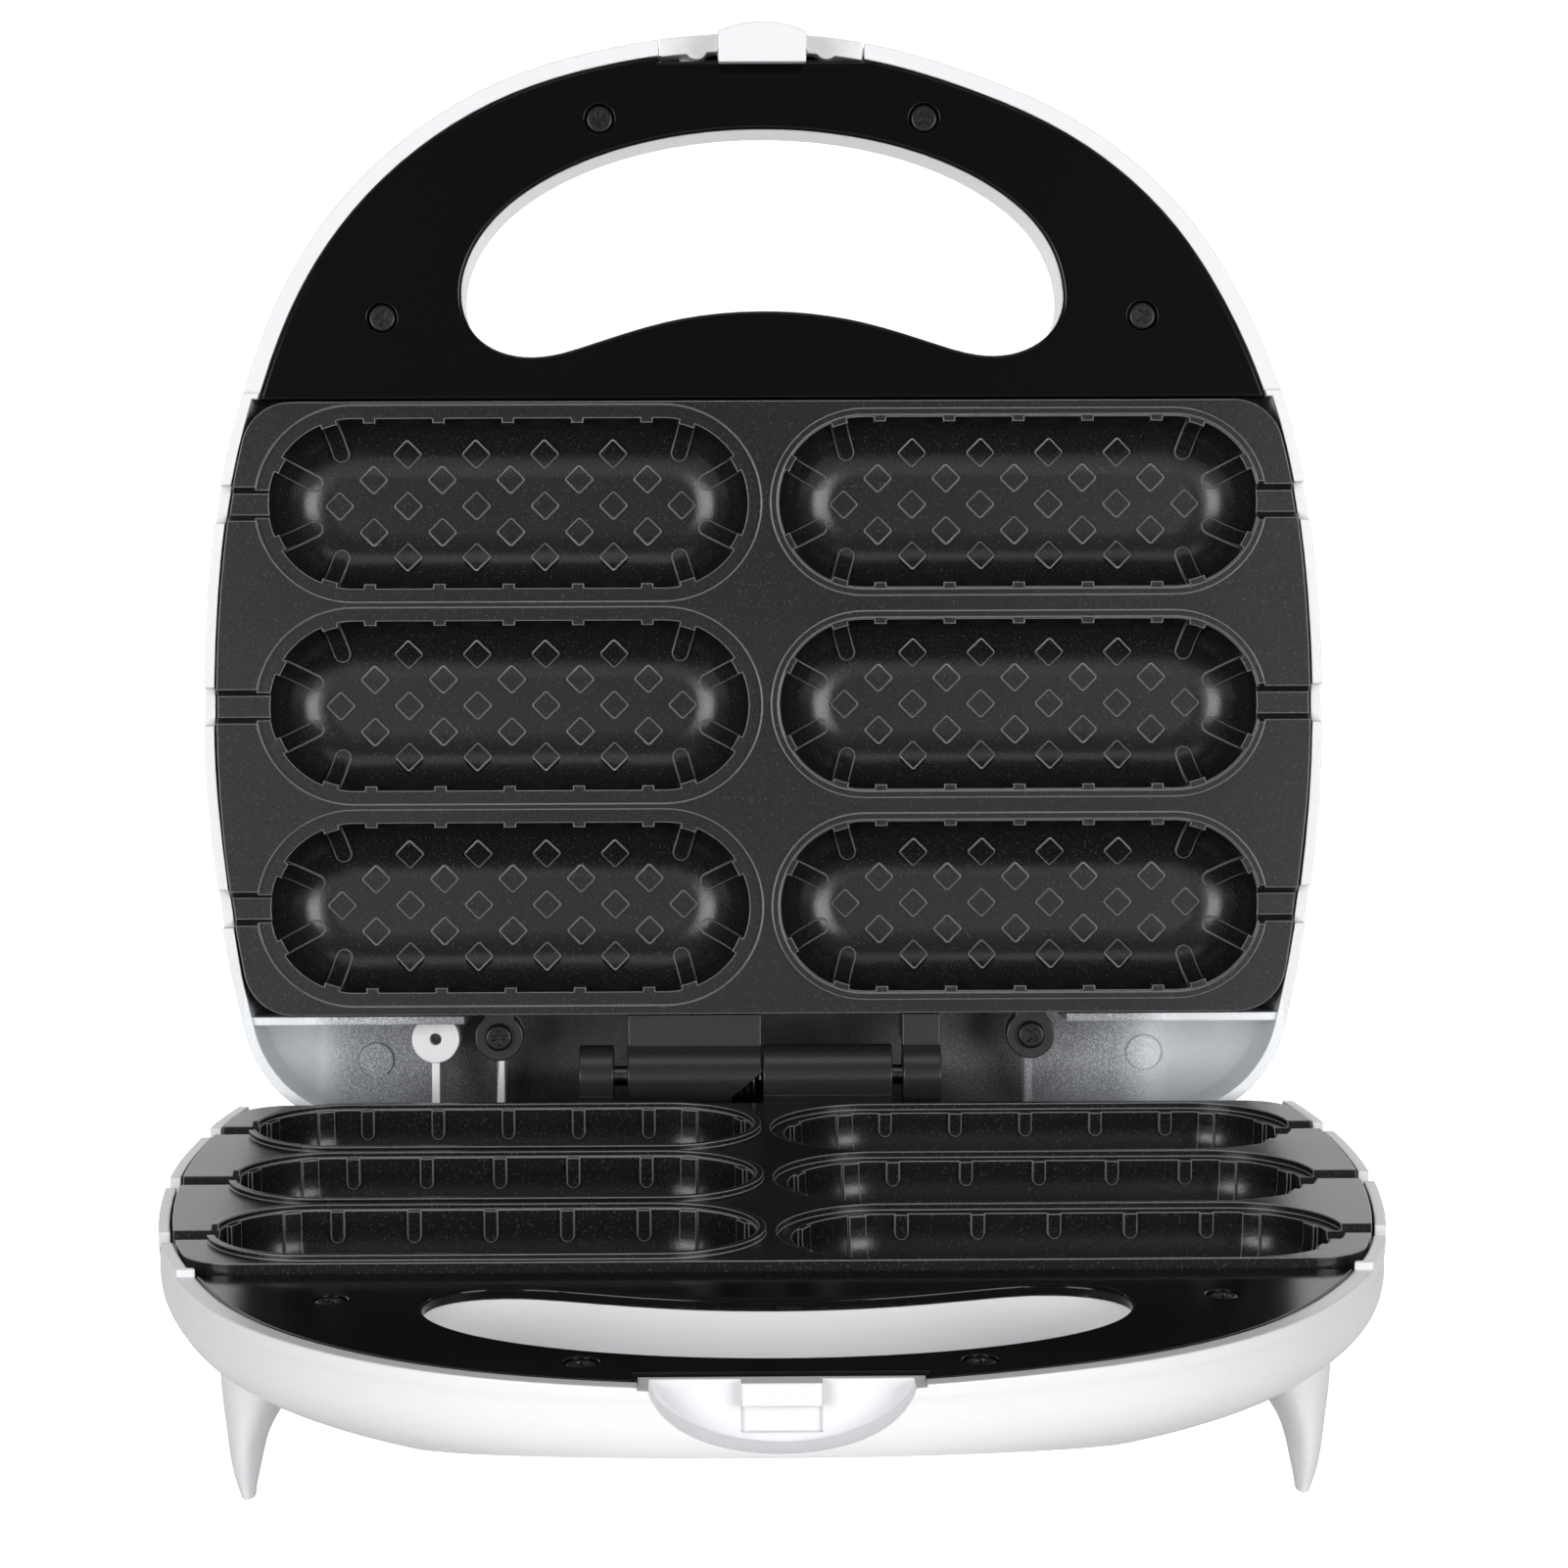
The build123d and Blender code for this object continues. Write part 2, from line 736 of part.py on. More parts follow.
def plate_outline(inset):
    face = extrude(outline_face(plate_inset + inset), -overrun)
    slab = face & box(
        -wide, wide, plate_rear_depth + inset, plate_front_depth - inset, overrun, -overrun
    )
    upright = [e for e in slab.edges() if e.bounding_box().size.X + e.bounding_box().size.Y < edge_play]
    return fillet(upright, plate_corner - inset)


def slot_prism(side, d):
    top, low = stick_slot_top / 2, stick_slot_floor / 2
    rise = stick_slot_depth
    flare = (top - low) / rise
    face = make_face(
        Polyline(
            (-top - flare * overrun, overrun), (-low, -rise), (low, -rise), (top + flare * overrun, overrun),
            (-top - flare * overrun, overrun),
        )
    )
    start = column_offset + cavity_half_length - cavity_half_width / 2
    prism = extrude(Plane.YZ * face, overrun)
    if side > 0:
        return Pos(start, -d, -plate_gap) * prism
    return Pos(-start - overrun, -d, -plate_gap) * prism


# The plate: beads round the left cavities and sunk bands round the right ones
def plate():
    face_z = -plate_gap
    slab = plate_outline(0)
    solid = slab & box(-wide, wide, -overrun, thick_slab, face_z, face_z - plate_thickness)
    skirt = slab - plate_outline(skirt_wall)
    skirt &= box(-wide, wide, -overrun, thick_slab, face_z, -skirt_depth)
    solid += skirt
    tub = stadium(cavity_half_length + cavity_wall, cavity_half_width + cavity_wall)
    tub = extrude(tub, -cavity_depth - cavity_wall)
    tub = fillet(tub.edges().group_by(Axis.Z)[0], cavity_round + cavity_wall)
    cut = cavity_cut()
    for d in row_depths:
        for side in (-1, 1):
            solid += Pos(side * column_offset, -d, face_z) * tub
            inner_x = side * (column_offset + cavity_half_length)
            outer_x = side * (barrel_x(d) - plate_inset - plate_gap)
            half = channel_half_width
            top, low = face_z - plate_thickness, face_z - channel_depth
            channel = box(inner_x, outer_x, d - half, d + half, top, low)
            solid += channel & slab
        solid += post(0, d, face_z - plate_thickness / 2, -mid_boss_depth, boss_radius)
    for x, d in corner_places():
        solid += post(x, d, face_z - plate_thickness / 2, -boss_depth, boss_radius)
    inner, outer = bead_inner, bead_inner + bead_width
    bead = stadium(cavity_half_length + outer, cavity_half_width + outer)
    bead -= stadium(cavity_half_length + inner, cavity_half_width + inner)
    bead = extrude(bead, bead_height + plate_thickness / 2)
    band = extrude(stadium(cavity_half_length + band_width, cavity_half_width + band_width), overrun)
    for d in row_depths:
        solid += Pos(-column_offset, -d, face_z - plate_thickness / 2) * bead
        solid -= Pos(column_offset, -d, face_z - band_depth) * band
    for d in row_depths:
        for side in (-1, 1):
            solid -= Pos(side * column_offset, -d, face_z) * cut
            solid -= slot_prism(side, d)
    hole = screw_shank_radius + screw_hole_gap
    for x, d in corner_places():
        solid -= post(x, d, -boss_depth - overrun, -plate_screw_tip + screw_hole_spare, hole)
    for d in row_depths:
        solid -= post(0, d, -mid_boss_depth - overrun, -reflector_screw_tip + screw_hole_spare, hole)
    return solid


# Sheathed heater, one tube bent round the middle row
def heater():
    half = (row_depths[1] - row_depths[0]) / 2
    mid = row_depths[1]
    z = -heater_depth
    leg_a = Line(at(heater_end_x, mid - half, z), at(-heater_bend_centre, mid - half, z))
    turn_x = -heater_bend_centre
    bend = ThreePointArc(leg_a @ 1, at(turn_x - half, mid, z), at(turn_x, mid + half, z))
    leg_b = Line(bend @ 1, at(heater_end_x, mid + half, z))
    path = Wire([leg_a, bend, leg_b])
    section = Plane(origin=path @ 0, z_dir=path % 0) * Circle(heater_radius)
    return sweep(section, path=path)


def heater_ends():
    half = (row_depths[1] - row_depths[0]) / 2
    group = []
    for d in (row_depths[1] - half, row_depths[1] + half):
        x = heater_end_x + rest_gap
        group.append(x_rod(x, x + terminal_bead_length, d, -heater_depth, bead_radius))
    return group


def heater_tabs():
    half = (row_depths[1] - row_depths[0]) / 2
    group = []
    for d in (row_depths[1] - half, row_depths[1] + half):
        x = heater_end_x + rest_gap + terminal_bead_length
        w, t = tab_width / 2, tab_thickness / 2
        group.append(box(x, x + tab_length, d - w, d + w, -heater_depth - t, -heater_depth + t))
    return group


def reflector(hole_x):
    width = 2 * reflector_half_width
    length = reflector_front - reflector_rear
    mid = (reflector_front + reflector_rear) / 2
    sheet = extrude(RectangleRounded(width, length, reflector_corner), -reflector_thickness)
    sheet = Pos(0, -mid, -reflector_depth) * sheet
    for d in row_depths:
        sheet -= post(0, d, 0, -overrun, screw_shank_radius + screw_hole_gap)
    sheet -= post(hole_x, barrel_centre_depth, 0, -overrun, reflector_hole_radius)
    return sheet


# Helix as one tube on arcs, along X from x0
def coil(x0, d, z, mean, wire, turns, length, name):
    steps = int(round(turns * 4))
    points, tangents = [], []
    for k in range(steps + 1):
        a = k * math.pi / 2
        rise = length * k / steps
        points.append(Vector(x0 + rise, -d + mean * math.cos(a), z + mean * math.sin(a)))
        lead = length / steps / (math.pi / 2)
        tangents.append(Vector(lead, -mean * math.sin(a), mean * math.cos(a)).normalized())
    arcs = []
    for k in range(steps):
        p0, p1, t0, t1 = points[k], points[k + 1], tangents[k], tangents[k + 1]
        v, t = p1 - p0, t0 + t1
        turn = 2 * (1 - t0.dot(t1))
        reach = (-v.dot(t) + math.sqrt(v.dot(t) ** 2 + turn * v.dot(v))) / turn
        q0, q1 = p0 + t0 * reach, p1 - t1 * reach
        mid = (q0 + q1) * 0.5
        for a, q, b in ((p0, q0, mid), (mid, q1, p1)):
            chord = (a + b) * 0.5
            c = (q - a).normalized().dot((b - a).normalized())
            arcs.append(ThreePointArc(a, chord + (q - chord) * (c / (1 + c)), b))
    path = Wire(arcs)
    section = Plane(origin=path @ 0, z_dir=path % 0) * Circle(wire)
    gap = length / turns - 2 * wire
    count = steps * coil_samples
    samples = [path @ (k / count) for k in range(count + 1)]
    apart = 3 * coil_samples
    least = min(
        (samples[i] - samples[j]).length
        for i in range(len(samples))
        for j in range(i + apart, len(samples))
    )
    print(name, "self gap", round(least - 2 * wire, 3), "pitch gap", round(gap, 3))
    return sweep(section, path=path)


# Hinge parts, drawn for the base side; the lid side is turned up afterwards
def bracket(pieces, sign, web):
    axis_z = hinge_rise * sign
    half = bar_half_length
    body = box(-half, half, bar_depths[0] + bar_rear_gap, bar_depths[1], -bar_heights[0], -bar_heights[1])
    for x0, x1 in pieces:
        body += box(x0, x1, arm_depths[0], arm_depths[1], -arm_rim, -bar_heights[1])
        body += box(x0, x1, arm_depths[0], bar_depths[1], -bar_heights[0], -bar_heights[1])
        body += x_rod(x0, x1, 0, axis_z, barrel_outer_radius)
        body += box(x0, x1, *web_depths, *web)
    for x, d in ear_places():
        body += post(x, d, -bar_heights[0], -bar_heights[1], ear_radius)
        w = ear_web_half
        body += box(x - w, x + w, d, bar_depths[1], -bar_heights[0], -bar_heights[1])
        body -= post(x, d, 0, -overrun, screw_shank_radius + screw_hole_gap)
        body -= post(x, d, 0, -bar_heights[0] + screw_head_height, counterbore_radius)
    for x0, x1 in pieces:
        body -= x_rod(x0 - rest_gap, x1 + rest_gap, 0, axis_z, pin_radius + pin_bore_gap)
    return body


def base_bracket():
    return bracket((base_barrel_x, base_lug_x), 1, base_web)


def lid_bracket():
    body = bracket((lid_barrel_x, lid_lug_x), -1, lid_web)
    x1 = lid_barrel_x[1]
    body -= x_rod(x1 - spring_bore_length, x1 + rest_gap, 0, -hinge_rise, spring_bore_radius)
    corners = [(x1 + x, y) for x, y in barrel_cut]
    cutter = make_face(Polyline(corners + corners[:1]))
    return body - extrude(cutter, overrun, both=True)


def hinge_pin():
    return x_rod(pin_x[0], pin_x[1], 0, hinge_rise, pin_radius)


def hinge_spring():
    x1 = base_barrel_x[0] - spring_end_gap - spring_wire_radius
    x0 = lid_barrel_x[1] - spring_bore_length + spring_end_gap + spring_wire_radius
    return coil(
        x0, 0, hinge_rise, spring_mean_radius, spring_wire_radius, spring_turns, x1 - x0, "hinge_spring"
    )


# Latch, drawn on the lid half below the parting plane; depth increases outwards
def latch():
    ring = lid_body(-rest_gap, 0, edge_round)
    ring_form = ring & box(-wide, wide, pocket_back_depth, slope_end_depth + overrun, 0, -latch_height)
    ring = ring_form - extrude(outline_face(latch_thickness), -latch_height - overrun)
    half = latch_half_width
    body = ring & box(-half, half, pocket_back_depth, slope_end_depth + overrun, -latch_low, -latch_height)
    t = tongue_half_width
    d0, d1 = tongue_depths
    shoulder = d1 - 2 * rest_gap - latch_thickness / 2
    face = make_face(
        [
            Line(at(-t, d0), at(t, d0)),
            Line(at(t, d0), at(t, shoulder)),
            ThreePointArc(at(t, shoulder), at(0, d1), at(-t, shoulder)),
            Line(at(-t, shoulder), at(-t, d0)),
        ]
    )
    tongue = Pos(0, 0, -latch_height + latch_low) * extrude(face, latch_height - latch_low - tongue_tip)
    body += tongue
    hook = box(-t + rest_gap, t - rest_gap, hook_reach, d0 + rest_gap, -hook_depths[0], -hook_depths[1])
    body += hook
    for side in (-1, 1):
        x0, x1 = side * latch_lug_x[0], side * latch_lug_x[1]
        body += x_rod(x0, x1, latch_pin_depth, -latch_pin_height, latch_lug_radius)
        wing = post(side * latch_wing_x, latch_wing_depth, -latch_low, -latch_height, latch_wing_radius)
        body += wing & ring_form
    reach = latch_half_width + overrun
    body -= x_rod(-reach, reach, latch_pin_depth, -latch_pin_height, latch_pin_radius + screw_hole_gap)
    inner = latch_lug_x[0] - latch_gap
    bore = latch_spring_mean + latch_spring_wire + latch_gap
    body -= x_rod(-inner, inner, latch_pin_depth, -latch_pin_height, bore)
    return body


def latch_pin():
    half = latch_half_width + latch_gap + latch_pin_overhang - rest_gap
    return x_rod(-half, half, latch_pin_depth, -latch_pin_height, latch_pin_radius)


def latch_spring():
    half = latch_spring_half
    return coil(
        -half, latch_pin_depth, -latch_pin_height, latch_spring_mean, latch_spring_wire, latch_spring_turns,
        2 * half, "latch_spring",
    )


# Lamps, under the top of the lid
def lens(x):
    top = -lid_body_depth
    body = post(x, lamp_depth, top - lens_stand, top + floor_wall, lens_radius)
    body = fillet(body.edges().sort_by(Axis.Z)[0], lens_round)
    inner = top + floor_wall + rest_gap
    body += post(x, lamp_depth, top + floor_wall - rest_gap, inner + rest_gap, lens_radius)
    return body + post(x, lamp_depth, inner, inner + lens_flange_height, lens_flange_radius)


def lamp_levels():
    low = -lid_body_depth + floor_wall + rest_gap + lens_flange_height + rest_gap
    return low, low + bulb_length


def bulbs():
    low, high = lamp_levels()
    return [post(x, lamp_depth, low, high, bulb_radius) for x in (-lamp_x, lamp_x)]


def lamp_holder():
    low, high = lamp_levels()
    hx, hd = lamp_holder_half
    x = lamp_x + hx
    level = high - lamp_holder_height
    body = box(-x, x, lamp_depth - hd, lamp_depth + hd, level, high)
    for side in (-1, 1):
        body -= post(side * lamp_x, lamp_depth, low, high + overrun, bulb_radius + rest_gap)
        body += box(
            side * x, side * (x - lamp_holder_height), lamp_depth - hd, lamp_depth + hd,
            -lid_body_depth + floor_wall + rest_gap, high,
        )
    return body


# Electrical parts
def gland():
    z = gland_z
    rear, inside = rear_depth, rear_depth + wall
    body = d_rod(gland_x, rear - gland_flange - rest_gap, rear - rest_gap, z, gland_flange_radius)
    body = chamfer(body.edges().sort_by(Axis.Y)[-1], gland_flange / 3)
    neck = gland_hole_radius - gland_neck_gap
    body += d_rod(gland_x, rear - gland_flange, inside + gland_inner + rest_gap, z, neck)
    body += d_rod(gland_x, inside + rest_gap, inside + rest_gap + gland_inner, z, gland_inner_radius)
    far = overrun
    return body - d_rod(gland_x, rear - far, inside + far, z, gland_bore_radius)


def terminal_block():
    w, l, h = block_size
    x, d = block_place
    floor = block_floor
    body = box(x - w / 2, x + w / 2, d - l / 2, d + l / 2, floor, floor + h)
    for k in (-1, 1):
        body -= post(x + k * block_screw_offset, d, floor + h / 2, floor + h, block_screw_radius + rest_gap)
    return body


def block_screws():
    x, d = block_place
    floor = block_floor
    top = floor + block_size[2]
    level = floor + block_size[2] / 2
    return [
        post(x + k * block_screw_offset, d, level + rest_gap, top - rest_gap, block_screw_radius)
        for k in (-1, 1)
    ]


def thermostat():
    top = -plate_gap - cavity_depth - cavity_wall - rest_gap
    x, d = column_offset, barrel_centre_depth
    body = post(x, d, top, top - thermostat_height, thermostat_radius)
    w, t, l = thermostat_tab
    for k in (-1, 1):
        dd = d + k * thermostat_tab_offset
        low = top - thermostat_height
        body += box(x - w / 2, x + w / 2, dd - t / 2, dd + t / 2, low, low - l / 2)
    return body


def thermal_fuse():
    z = -reflector_depth - reflector_thickness - fuse_radius - fuse_clip_wall
    x = -column_offset
    return x_rod(x - fuse_length / 2, x + fuse_length / 2, barrel_centre_depth + overrun / 2, z, fuse_radius)


def fuse_clip():
    z = -reflector_depth - reflector_thickness - fuse_radius - fuse_clip_wall
    x, d = -column_offset, barrel_centre_depth + overrun / 2
    half = fuse_clip_width / 2
    r = fuse_radius + rest_gap
    body = x_rod(x - half, x + half, d, z, r + fuse_clip_wall)
    top = -reflector_depth - reflector_thickness - rest_gap / 2
    body += box(x - half, x + half, d - 3 * r, d + 3 * r, top, top - fuse_clip_wall)
    body &= box(x - half, x + half, d - 3 * r, d + 3 * r, top, top - overrun)
    return body - x_rod(x - half, x + half, d, z, r)


def lead(points, radii, name):
    path = FilletPolyline([at(*p) for p in points], radius=radii)
    section = Plane(origin=path @ 0, z_dir=path % 0) * Circle(lead_radius)
    print(name, "radius", radii, "length", round(path.length, 1))
    return sweep(section, path=path)


def base_leads():
    half = (row_depths[1] - row_depths[0]) / 2
    tab_x = heater_end_x + terminal_bead_length + tab_length / 2
    under = -heater_depth - tab_thickness / 2 - rest_gap - lead_radius
    x, d = block_place
    exit_d = d + block_size[1] / 2 + lead_end_gap
    dive_x, dive_z = base_lead_dive
    solids = []
    for side, name in ((-1, "base lead a"), (1, "base lead b")):
        tab_d = barrel_centre_depth + side * half
        turn_d = tab_d - side * base_lead_run
        route = [(tab_x, tab_d + side * base_lead_start, under), (tab_x, turn_d, under), (dive_x, turn_d, dive_z)]
        if side > 0:
            route.append(base_lead_pass)
        route.append((x - side * block_screw_offset, exit_d, block_floor + lead_rise))
        solids.append(lead(route, base_lead_bend, name))
    return solids


def lid_leads():
    half = (row_depths[1] - row_depths[0]) / 2
    far = row_depths[1] + half
    tab_x = heater_end_x + terminal_bead_length + tab_length / 2
    start_z = -heater_depth - tab_thickness / 2 - rest_gap
    low, high = lamp_levels()
    z = (low + high) / 2 - lamp_holder_height
    end = lamp_x + lamp_holder_half[0] + lead_end_gap
    route = [(tab_x, far, start_z), (tab_x, far, z), (tab_x - overrun, lamp_depth, z), (end, lamp_depth, z)]
    return [lead(route, lead_bend, "lid lead")]


# Placing
def in_base(shape):
    return Pos(0, hinge_y, plane_height) * shape


def turn_up(shape):
    return mirror(shape, about=Plane.XY)


def in_lid(shape):
    closed = turn_up(shape)
    axis_place = Pos(0, 0, hinge_rise)
    opened = axis_place * Rot(-open_angle, 0, 0) * axis_place.inverse() * closed
    return Pos(0, hinge_y, plane_height) * opened


def in_lid_turned(shape):
    axis_place = Pos(0, 0, hinge_rise)
    opened = axis_place * Rot(-open_angle, 0, 0) * axis_place.inverse() * (Rot(0, 180, 0) * shape)
    return Pos(0, hinge_y, plane_height) * opened


def save(name, shape):
    if isinstance(shape, list):
        solids = []
        for s in shape:
            solids += list(s.solids())
        shape = Compound(solids)
    export_step(shape, f"parts/{name}.step")
    b = shape.bounding_box()
    count = len(shape.solids())
    print(name, "solids", count, "volume", round(shape.volume), "z", round(b.min.Z, 2), round(b.max.Z, 2),
          "y", round(b.min.Y, 2), round(b.max.Y, 2), flush=True)


def turned(shapes, place):
    return [place(s) for s in shapes]


os.makedirs("parts", exist_ok=True)
save("base_shell", in_base(base_shell()))
save("lid_shell", in_lid(lid_shell()))
save("base_handle_liner", in_base(handle_liner(base_liner_flat_depth, base_liner_flat_half)))
save("lid_handle_liner", in_lid(handle_liner(liner_flat_depth, latch_half_width + latch_gap)))
casting = plate()
save("base_plate", in_base(casting))
save("lid_plate", in_lid_turned(casting))
for half_name, place in (("base", in_base), ("lid", in_lid)):
    save(f"{half_name}_heater", place(heater()))
    save(f"{half_name}_heater_beads", turned(heater_ends(), place))
    save(f"{half_name}_heater_tabs", turned(heater_tabs(), place))
    hole_x = column_offset if half_name == "base" else wide
    save(f"{half_name}_reflector", place(reflector(hole_x)))
    save(f"{half_name}_reflector_screws", turned(reflector_screws(), place))
    save(f"{half_name}_plate_screws", turned(plate_screws(), place))
    save(f"{half_name}_liner_screws", turned(liner_screws(), place))
    save(f"{half_name}_hinge_screws", turned(ear_screws(), place))
save("base_hinge_bracket", in_base(base_bracket()))
save("lid_hinge_bracket", in_lid(lid_bracket()))
save("hinge_pin", in_base(hinge_pin()))
save("hinge_spring", in_base(hinge_spring()))
save("latch", in_lid(latch()))
save("latch_pin", in_lid(latch_pin()))
save("latch_spring", in_lid(latch_spring()))
save("power_lamp_lens", in_lid(lens(-lamp_x)))
save("ready_lamp_lens", in_lid(lens(lamp_x)))
save("lamp_bulbs", turned(bulbs(), in_lid))
save("lamp_holder", in_lid(lamp_holder()))
save("lid_leads", turned(lid_leads(), in_lid))
save("cord_gland", in_base(gland()))
save("terminal_block", in_base(terminal_block()))
save("terminal_block_screws", turned(block_screws(), in_base))
save("thermostat", in_base(thermostat()))
save("thermal_fuse", in_base(thermal_fuse()))
save("thermal_fuse_clip", in_base(fuse_clip()))
save("base_leads", turned(base_leads(), in_base))
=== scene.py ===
# %% [markdown]
# # A corn dog maker, dressed in Blender
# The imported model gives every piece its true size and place. This lesson keeps that frame as it is and
# gives each piece its finish: glossy white moulding, smooth black liners, a speckled non-stick coating,
# and the metal of the hinge and screws. The frame is loaded first, because everything else sits on it.

# %% Load the frame
import json
import math

import bpy
import bmesh
from mathutils import Matrix, Vector


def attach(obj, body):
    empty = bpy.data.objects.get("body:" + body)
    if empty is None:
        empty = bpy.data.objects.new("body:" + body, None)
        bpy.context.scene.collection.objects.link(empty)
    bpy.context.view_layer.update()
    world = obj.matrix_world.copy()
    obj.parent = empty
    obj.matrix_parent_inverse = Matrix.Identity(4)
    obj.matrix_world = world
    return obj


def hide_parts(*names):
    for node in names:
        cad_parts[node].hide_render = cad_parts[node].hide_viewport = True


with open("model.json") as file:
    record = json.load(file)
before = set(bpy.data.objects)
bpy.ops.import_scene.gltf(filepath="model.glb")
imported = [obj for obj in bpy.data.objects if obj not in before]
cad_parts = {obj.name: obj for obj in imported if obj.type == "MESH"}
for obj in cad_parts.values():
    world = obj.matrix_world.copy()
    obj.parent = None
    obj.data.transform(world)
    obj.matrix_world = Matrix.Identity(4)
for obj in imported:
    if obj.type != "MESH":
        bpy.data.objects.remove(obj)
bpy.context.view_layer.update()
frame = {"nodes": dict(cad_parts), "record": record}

scene = bpy.context.scene
nodes = frame["nodes"]

# %% [markdown]
# The camera comes before the looks, so that each render can be set beside the photograph. It stands about a
# metre in front, a little above the appliance, and looks down by nine degrees through a long lens. Its place
# came from matching known corners of the plates and feet.

# %% Camera
parting = Vector((0.0, 0.0782, 0.041))
camera_offset = (-0.0117, -0.96307, 0.21747)
camera_yaw, camera_pitch, camera_roll = -0.95, 9.16, -0.11
focal_px, centre_px, picture_px = 5000.67, (803.04, 799.57), 1601
sensor_mm = 36.0


def add_camera(offset, yaw, pitch, roll):
    data = bpy.data.cameras.new("photo_camera")
    data.sensor_width = sensor_mm
    data.lens = focal_px / picture_px * data.sensor_width
    data.shift_x = (picture_px / 2 - centre_px[0]) / picture_px
    data.shift_y = (centre_px[1] - picture_px / 2) / picture_px
    data.clip_end = 100.0
    turn = Matrix.Rotation(math.radians(yaw), 4, "Z")
    turn = turn @ Matrix.Rotation(math.radians(90.0 - pitch), 4, "X")
    turn = turn @ Matrix.Rotation(math.radians(roll), 4, "Z")
    camera = bpy.data.objects.new("photo_camera", data)
    camera.matrix_world = Matrix.Translation(parting + Vector(offset)) @ turn
    scene.collection.objects.link(camera)
    scene.camera = camera
    return camera


camera = add_camera(camera_offset, camera_yaw, camera_pitch, camera_roll)
scene.view_settings.view_transform = "Standard"
print("camera lens", round(camera.data.lens, 1), "mm")

# %% [markdown]
# A product picture on white has a pale floor that runs back to a white wall. The floor here is one large
# sheet that glows white to the camera, and still takes the soft shadow of the appliance. Glossy surfaces
# see the glow too, weaker near the appliance and full at the back, as a tent lit from behind would show it.
# The glow is kept to those rays, so it doesn't add light to the object.

# %% Floor and backdrop
glow_reach = (0.2, 1.4)
glow_near, glow_far = 0.25, 0.95
floor_half, floor_back, wall_rise, wall_bend = 6.0, 3.0, 4.0, 1.5


def math_node(tree, operation, first, second=None, clamp=False):
    node = tree.nodes.new("ShaderNodeMath")
    node.operation = operation
    node.use_clamp = clamp
    for socket, value in zip(node.inputs, (first, second)):
        if isinstance(value, (int, float)):
            socket.default_value = value
        elif value is not None:
            tree.links.new(value, socket)
    return node.outputs[0]


def glow_strength(tree, near, far):
    path = tree.nodes.new("ShaderNodeLightPath")
    place = tree.nodes.new("ShaderNodeSeparateXYZ")
    tree.links.new(tree.nodes.new("ShaderNodeTexCoord").outputs["Object"], place.inputs[0])
    fade = tree.nodes.new("ShaderNodeMapRange")
    for label, value in zip(("From Min", "From Max", "To Min", "To Max"), (*glow_reach, near, far)):
        fade.inputs[label].default_value = value
    tree.links.new(place.outputs["Y"], fade.inputs["Value"])
    mirrored = math_node(tree, "MAXIMUM", path.outputs["Is Glossy Ray"], path.outputs["Is Transmission Ray"])
    faded = math_node(tree, "MULTIPLY", mirrored, fade.outputs["Result"])
    return math_node(tree, "MAXIMUM", path.outputs["Is Camera Ray"], faded)


def floor_finish(near, far):
    mat = bpy.data.materials.new("pale_floor")
    mat.use_nodes = True
    tree = mat.node_tree
    shader = tree.nodes["Principled BSDF"]
    shader.inputs["Base Color"].default_value = (0.8, 0.8, 0.8, 1.0)
    shader.inputs["Roughness"].default_value = 0.9
    shader.inputs["Specular IOR Level"].default_value = 0.1
    shader.inputs["Emission Color"].default_value = (1.0, 1.0, 1.0, 1.0)
    tree.links.new(glow_strength(tree, near, far), shader.inputs["Emission Strength"])
    return mat


def add_floor(half, back, rise, bend):
    points = [(-half, 0.0)]
    steps = 16
    for k in range(steps + 1):
        a = math.radians(90.0 * k / steps)
        points.append((back + bend * math.sin(a), bend * (1 - math.cos(a))))
    points.append((back + bend, rise))
    verts = [(x, y, z) for y, z in points for x in (-half, half)]
    faces = [(2 * k, 2 * k + 1, 2 * k + 3, 2 * k + 2) for k in range(len(points) - 1)]
    mesh = bpy.data.meshes.new("studio_floor")
    mesh.from_pydata(verts, [], faces)
    mesh.polygons.foreach_set("use_smooth", [True] * len(faces))
    mesh.materials.append(floor_finish(glow_near, glow_far))
    floor = bpy.data.objects.new("studio_floor", mesh)
    scene.collection.objects.link(floor)
    return floor


floor = add_floor(floor_half, floor_back, wall_rise, wall_bend)
print("floor faces", len(floor.data.polygons))

# %% [markdown]
# The light is soft and comes from large panels, as in a photo tent: one at each side towards the front, one
# above, a weak low one that opens the shade under the front, and one high behind for the back. Their glints
# at the ends of every cavity show how glossy the coating is. Nothing bright stands straight behind the
# camera, because the upright black liner would mirror it. The world adds a low, even fill.

# %% Lights


def add_panel(name, place, aim, width, height, watts):
    data = bpy.data.lights.new(name, "AREA")
    data.shape = "RECTANGLE"
    data.size, data.size_y, data.energy = width, height, watts
    lamp = bpy.data.objects.new(name, data)
    lamp.location = place
    lamp.rotation_euler = (Vector(aim) - Vector(place)).to_track_quat("-Z", "Y").to_euler()
    scene.collection.objects.link(lamp)
    return lamp


front_aim, top_aim, low_aim, back_aim = (0, 0, 0.12), (0, 0, 0.1), (0, 0, 0.05), (0, 0.1, 0.1)
panels = [
    ("left_panel", (-1.05, -1.6, 0.4), front_aim, 1.0, 0.8, 22),
    ("right_panel", (1.05, -1.6, 0.4), front_aim, 1.0, 0.8, 22),
    ("top_panel", (0, -0.55, 1.6), top_aim, 1.4, 0.7, 3.5),
    ("low_panel", (0, -2.2, 0.2), low_aim, 2.4, 0.3, 1.7),
    ("back_panel", (0, 1.5, 1.4), back_aim, 1.0, 0.6, 4),
]
for panel in panels:
    add_panel(*panel)
room_fill = 0.18


